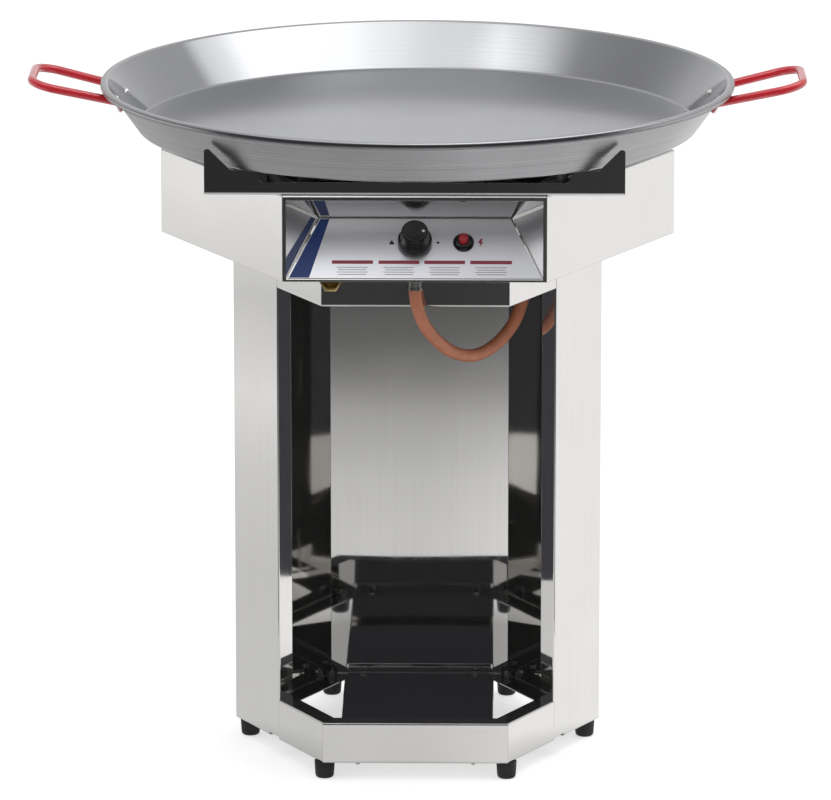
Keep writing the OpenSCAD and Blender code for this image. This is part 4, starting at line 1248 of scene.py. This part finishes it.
@dataclass
class Controls:
    """The knob with its pointer, the igniter's bezel and button, and the print on the fascia."""

    fascia: float = 0.001
    knob_gap: float = 0.006
    knob_height: float = 0.023
    knob_radius: float = 0.021
    knob_top: float = 0.0165
    spindle: float = 0.00405
    spindle_depth: float = 0.015
    hollow_radius: float = 0.0145
    hollow_depth: float = 0.0045
    # Outline from the edge of the knob's foot, and from the edge of its top
    knob_skirt: Profile = ((0.0, 0.0), (0.0, 0.0026), (-0.0012, 0.004), (-0.0024, 0.0043), (-0.0034, 0.010))
    knob_crown: Profile = ((0.0, -0.0022), (-0.0016, -0.0004), (-0.0038, -0.0008))
    knob_dip: float = 0.0012
    knob_edge: Edge = Edge(0.0005, 3, 20.0)
    pointer_radius: float = 0.0019
    pointer_out: float = 0.0108
    pointer_height: float = 0.0005
    pointer_dome: float = 0.0001
    pointer_edge: Edge = Edge(0.0002)
    pointer_steps: int = 32
    button_x: float = 0.060
    button_radius: float = 0.006
    button_gap: float = 0.0003
    button_in: float = 0.006
    button_proud: float = 0.0075
    button_chamfer: float = 0.0012
    button_dome: float = 0.0002
    button_edge: Edge = Edge(0.0006, 3, 25.0)
    bezel_radius: float = 0.013
    bezel_height: float = 0.006
    bezel_flat: float = 0.0044
    # Outline from the edge of the bezel's foot
    bezel_round: Profile = ((0.0, 0.0), (0.0, 0.0015), (-0.0014, 0.0038), (-0.0030, 0.0054))
    bezel_edge: Edge = Edge(0.0004, 3, 25.0)
    # Facets round the knob and the bezel
    turn_steps: int = 96
    ink: float = 0.00008
    # Printed shapes, across and up the slope from the knob's axis
    band: Profile = ((-0.1545, -0.0515), (-0.1297, -0.0515), (-0.1059, 0.034), (-0.1172, 0.034))
    bars: Profile = ((-0.102, -0.0514), (-0.0445, 0.0056), (0.0119, 0.062), (0.0683, 0.1197))
    bar_foot: float = -0.0312
    bar_height: float = 0.005
    rules: int = 4
    rule_foot: float = -0.0368
    rule_step: float = 0.0034
    rule_height: float = 0.0009
    rule_inset: float = 0.006
    rule_stagger: float = 0.002
    mark_aside: float = 0.0285
    flame: Profile = ((-0.0024, 0.0), (0.0024, 0.0), (0.003, 0.0022), (0.0, 0.0066), (-0.003, 0.0022))
    flame_foot: float = -0.003
    dot_radius: float = 0.0018
    dot_corners: int = 12
    bolt: Profile = ((0.0, 0.006), (-0.0035, -0.0005), (-0.0005, -0.0005), (-0.0015, -0.006),
                     (0.0035, 0.001), (0.0008, 0.001), (0.0026, 0.006))
    bolt_x: float = 0.081

    def build(self) -> None:
        """Make the pieces on the control panel."""
        self.knob()
        self.igniter()
        self.print_marks()

    def knob(self) -> None:
        """Turn the knob with its hollow underside, and set in its pointer dot."""
        knob = Bench.lathe("knob_cap", [
            (0.0, self.spindle_depth), (self.spindle, self.spindle_depth),
            (self.spindle, self.hollow_depth), (self.hollow_radius, self.hollow_depth),
            (self.hollow_radius, 0.0),
            *((self.knob_radius + x, z) for x, z in self.knob_skirt),
            *((self.knob_top + x, self.knob_height + z) for x, z in self.knob_crown),
            (0.0, self.knob_height - self.knob_dip),
        ], self.turn_steps)
        Bench.ease(knob, self.knob_edge)
        Bench.settle(knob, panel_place(out=self.knob_gap))
        fit(knob, BLACK_PLASTIC, "knob", "black_plastic", "control_knob")
        dot = Bench.lathe("knob_pointer", [
            (0.0, 0.0), (self.pointer_radius, 0.0), (self.pointer_radius, self.pointer_height),
            (0.0, self.pointer_height + self.pointer_dome),
        ], self.pointer_steps)
        Bench.ease(dot, self.pointer_edge)
        face = self.knob_gap + self.knob_height - self.knob_dip
        Bench.settle(dot, panel_place(self.pointer_out, out=face))
        fit(dot, WHITE_INK, "knob", "black_plastic")

    def igniter(self) -> None:
        """Turn the igniter's bezel and its button."""
        bore = self.button_radius + self.button_gap
        bezel = Bench.lathe("igniter_collar", [
            (bore, 0.0), *((self.bezel_radius + x, z) for x, z in self.bezel_round),
            (self.bezel_radius - self.bezel_flat, self.bezel_height), (bore, self.bezel_height),
            (bore, 0.0),
        ], self.turn_steps)
        Bench.ease(bezel, self.bezel_edge)
        Bench.settle(bezel, panel_place(self.button_x, out=self.fascia))
        fit(bezel, BLACK_PLASTIC, "stand", "black_plastic", "igniter_bezel")
        top = self.fascia + self.bezel_height + self.button_proud
        button = Bench.lathe("igniter_cap", [
            (0.0, -self.button_in), (self.button_radius, -self.button_in),
            (self.button_radius, top - self.button_chamfer),
            (self.button_radius - self.button_chamfer, top), (0.0, top + self.button_dome),
        ])
        Bench.ease(button, self.button_edge)
        Bench.settle(button, panel_place(self.button_x))
        fit(button, RED_PLASTIC, "igniter_key", "red_plastic", "igniter_button")

    def print_marks(self) -> None:
        """Print the plain bands, bars and marks on the fascia."""
        self.mark("band_blue", BLUE_INK, self.band)
        for number, (left, right) in enumerate(self.bars, 1):
            self.mark(f"bar_{number}", RED_INK, self.bar(left, right, self.bar_foot, self.bar_height))
            for row in range(self.rules):
                inset = self.rule_inset + self.rule_stagger * (row % 2)
                self.mark(f"rule_{number}_{row + 1}", GREY_INK,
                          self.bar(left + inset, right - inset, self.rule_foot - self.rule_step * row,
                                   self.rule_height))
        flame = [(x - self.mark_aside, y + self.flame_foot) for x, y in self.flame]
        self.mark("mark_high", DARK_INK, flame)
        angles = [2 * math.pi * step / self.dot_corners for step in range(self.dot_corners)]
        self.mark("mark_off", DARK_INK, [(self.mark_aside + self.dot_radius * math.cos(angle),
                                          self.dot_radius * math.sin(angle)) for angle in angles])
        self.mark("mark_spark", RED_INK, [(x + self.bolt_x, y) for x, y in self.bolt])

    @staticmethod
    def bar(left: float, right: float, foot: float, height: float) -> Profile:
        """Return the corners of a level bar."""
        return ((left, foot), (right, foot), (right, foot + height), (left, foot + height))

    def mark(self, name: str, ink: Finish, corners: Profile) -> None:
        """Lay one printed mark on the fascia.

        Args:
            name: Name of the mark.
            ink: Its finish.
            corners: Its outline, across and up the slope from the knob's axis.
        """
        mark = Bench.plate(f"print_{name}", corners, self.ink)
        Bench.settle(mark, panel_place(out=self.fascia))
        fit(mark, ink, "stand", "fascia_print")


@dataclass
class Fittings:
    """Rubber feet, hose ferrules, the threaded gas inlet and the screws that show."""

    foot_radii: Size = (0.0115, 0.013)
    foot_height: float = 0.022
    # Height of the foot's lower bend, and its place between the two radii
    foot_bend: float = 0.0045
    foot_bend_share: float = 0.25
    tread: float = 0.002
    foot_edge: Edge = Edge(0.0008, 3, 20.0)
    stud_radius: float = 0.0042
    stud_depth: float = 0.012
    hose_radius: float = 0.0082
    ferrule_wall: float = 0.0012
    ferrule_height: float = 0.012
    collar: float = 0.0006
    collar_heights: Size = (0.002, 0.003)
    grooves: tuple[float, ...] = (0.0045, 0.0080)
    groove_depth: float = 0.0006
    groove_width: float = 0.002
    ferrule_edge: Edge = Edge(0.0002, 2, 25.0)
    inlet_flats: float = 0.024
    inlet_bore: float = 0.0093
    inlet_depth: float = 0.013
    inlet_floor: float = 0.001
    inlet_edge: Edge = Edge(0.0004)
    thread_pitch: float = 0.0018
    thread_depth: float = 0.0007
    # The tap's first crest lies this far above the inlet's face, so that a flank runs out there
    thread_start: float = 0.0004
    screw_radius: float = 0.00475
    screw_height: float = 0.00275
    shank_radius: float = 0.0025
    # Rounding of a screw's head: shares of its radius and height
    head_round: Profile = ((1.0, 0.4), (0.75, 0.85), (0.4, 1.0))
    # Cutters of the cross recess: length and width, and the heights of the two, which go in by half
    recess_size: Size = (0.0052, 0.001)
    recess_heights: Size = (0.0022, 0.0024)
    recess_turn: float = 0.35
    screw_edge: Edge = Edge(0.0004, 2, 20.0)
    screw_steps: int = 48
    # Pieces with a cut are shaded smooth across edges flatter than this
    cut_angle: float = 30.0

    def build(self) -> None:
        """Make the fittings."""
        self.feet()
        self.ferrules()
        self.inlet()
        self.screws("tray_screws", 2)
        self.screws("support_screws", 3)

    def feet(self) -> None:
        """Turn one rubber foot with a rounded tread, and set a copy under each stud."""
        low, high = self.foot_radii
        hole = self.foot_height - self.stud_depth
        pattern = Bench.lathe("rubber_foot", [
            (0.0, hole), (self.stud_radius, hole), (self.stud_radius, self.foot_height),
            (high, self.foot_height), (low + (high - low) * self.foot_bend_share, self.foot_bend),
            (low, self.tread), (low - self.tread, 0.0), (0.0, 0.0),
        ])
        Bench.ease(pattern, self.foot_edge)
        for node in [name for name, slot in NODE_SLOTS.items() if slot == "foot_rubber"]:
            middle = node_middle(node)
            foot = Bench.copy(pattern, f"rubber_{node}", Matrix.Translation((middle.x, middle.y, 0.0)))
            fit(foot, FOOT_RUBBER, "stand", "foot_rubber", node)
        bpy.data.objects.remove(pattern)

    def ferrules(self) -> None:
        """Turn the sleeve with its crimp grooves, and set a copy at each end of the hose."""
        bore = self.hose_radius
        wall = bore + self.ferrule_wall
        tall = self.ferrule_height
        rim, slope = self.collar_heights
        deep, wide = self.groove_depth, self.groove_width
        profile = [(bore, 0.0), (wall + self.collar, 0.0), (wall + self.collar, rim), (wall, slope)]
        for groove in self.grooves:
            profile += [(wall, groove), (wall - deep, groove + deep), (wall - deep, groove + wide - deep),
                        (wall, groove + wide)]
        profile += [(wall, tall), (bore, tall), (bore, 0.0)]
        pattern = Bench.lathe("hose_sleeve", profile)
        Bench.ease(pattern, self.ferrule_edge)
        for node in ("front_ferrule", "rear_ferrule"):
            middle = node_middle(node)
            foot = node_box(node)[0].z
            sleeve = Bench.copy(pattern, f"crimped_{node}", Matrix.Translation((middle.x, middle.y, foot)))
            fit(sleeve, DULL_SHADED_ZINC, "stand", "zinc_steel", node)
        bpy.data.objects.remove(pattern)

    def inlet(self) -> None:
        """Cut the inlet's hexagon and tap its bore."""
        length = self.inlet_depth + self.inlet_floor
        Bench.clear()
        bpy.ops.mesh.primitive_cylinder_add(vertices=6, radius=self.inlet_flats / math.sqrt(3),
                                            depth=length, location=(0.0, 0.0, length / 2),
                                            rotation=(0.0, 0.0, math.pi / 6))
        socket = Bench.settle(Bench.take("inlet_hexagon"))
        Bench.ease(socket, self.inlet_edge)
        root = self.inlet_bore + self.thread_depth
        above = length + self.inlet_floor
        thread = [(0.0, above), (root, above)]
        for turn in range(int(self.inlet_depth / self.thread_pitch)):
            crest = length + self.thread_start - turn * self.thread_pitch
            thread += [(root, crest), (self.inlet_bore, crest - self.thread_pitch / 2)]
        thread += [(self.inlet_bore, self.inlet_floor), (0.0, self.inlet_floor)]
        Bench.combine(socket, Bench.lathe("inlet_tap", thread), Joining.CUT)
        Bench.smooth(socket, self.cut_angle)
        middle = node_middle("inlet_socket")
        front = node_box("inlet_socket")[0].y
        place = Matrix.Translation((middle.x, front + length, middle.z))
        Bench.settle(socket, place @ Matrix.Rotation(math.pi / 2, 4, "X"))
        fit(socket, BRASS, "stand", "brass", "inlet_socket")

    def screws(self, node: str, columns: int) -> None:
        """Model one screw with a cross recess, and set a copy at each of a node's screws.

        Args:
            node: CAD node of the screws, in two rows across.
            columns: Screws in a row.
        """
        low, high = node_box(node)
        edge, tall = self.screw_radius, self.screw_height
        foot = high.z - tall
        tip = low.z - foot
        pattern = Bench.lathe(f"{node}_pattern", [
            (0.0, tip), (self.shank_radius, tip), (self.shank_radius, 0.0), (edge, 0.0),
            *((edge * across, tall * up) for across, up in self.head_round), (0.0, tall),
        ], self.screw_steps)
        Bench.ease(pattern, self.screw_edge)
        for number, height in enumerate(self.recess_heights):
            Bench.clear()
            bpy.ops.mesh.primitive_cube_add(size=1.0, scale=(*self.recess_size, height),
                                            location=(0.0, 0.0, tall))
            recess = Bench.settle(Bench.take("cross_recess"))
            Bench.settle(recess, Matrix.Rotation(self.recess_turn + number * math.pi / 2, 4, "Z"))
            Bench.combine(pattern, recess, Joining.CUT)
        Bench.smooth(pattern, self.cut_angle)
        first, last = low.x + edge, high.x - edge
        across = [first + (last - first) * column / (columns - 1) for column in range(columns)]
        places = [(x, y, foot) for y in (low.y + edge, high.y - edge) for x in across]
        for number, place in enumerate(places, 1):
            screw = Bench.copy(pattern, f"{node}_{number}", Matrix.Translation(place))
            stands_for = (node,) if number == 1 else ()
            fit(screw, ZINC, "stand", "zinc_steel", *stands_for)
        bpy.data.objects.remove(pattern)


def dress_nodes() -> None:
    """Give every CAD node that still shows the finish of its material slot."""
    own = dict.fromkeys(("front_rail", "front_skirt", "console_shell", "housing_shell"), STEEL_ACROSS)
    own |= dict.fromkeys(("bottle_tray", "housing_floor"), STEEL_DEEP)
    own["handle_rivets"] = RIVET_STEEL
    for name, node in frame["nodes"].items():
        dress(node, own.get(name, SLOT_FINISHES[NODE_SLOTS[name]]))


def main() -> None:
    """Build the studio and the pieces in order."""
    logging.basicConfig(level=logging.INFO, format="%(name)s: %(message)s")
    Studio().build()
    dress_nodes()
    GasHose().build()
    PaellaPan().build()
    Controls().build()
    Fittings().build()


if __name__ == "__main__":
    main()
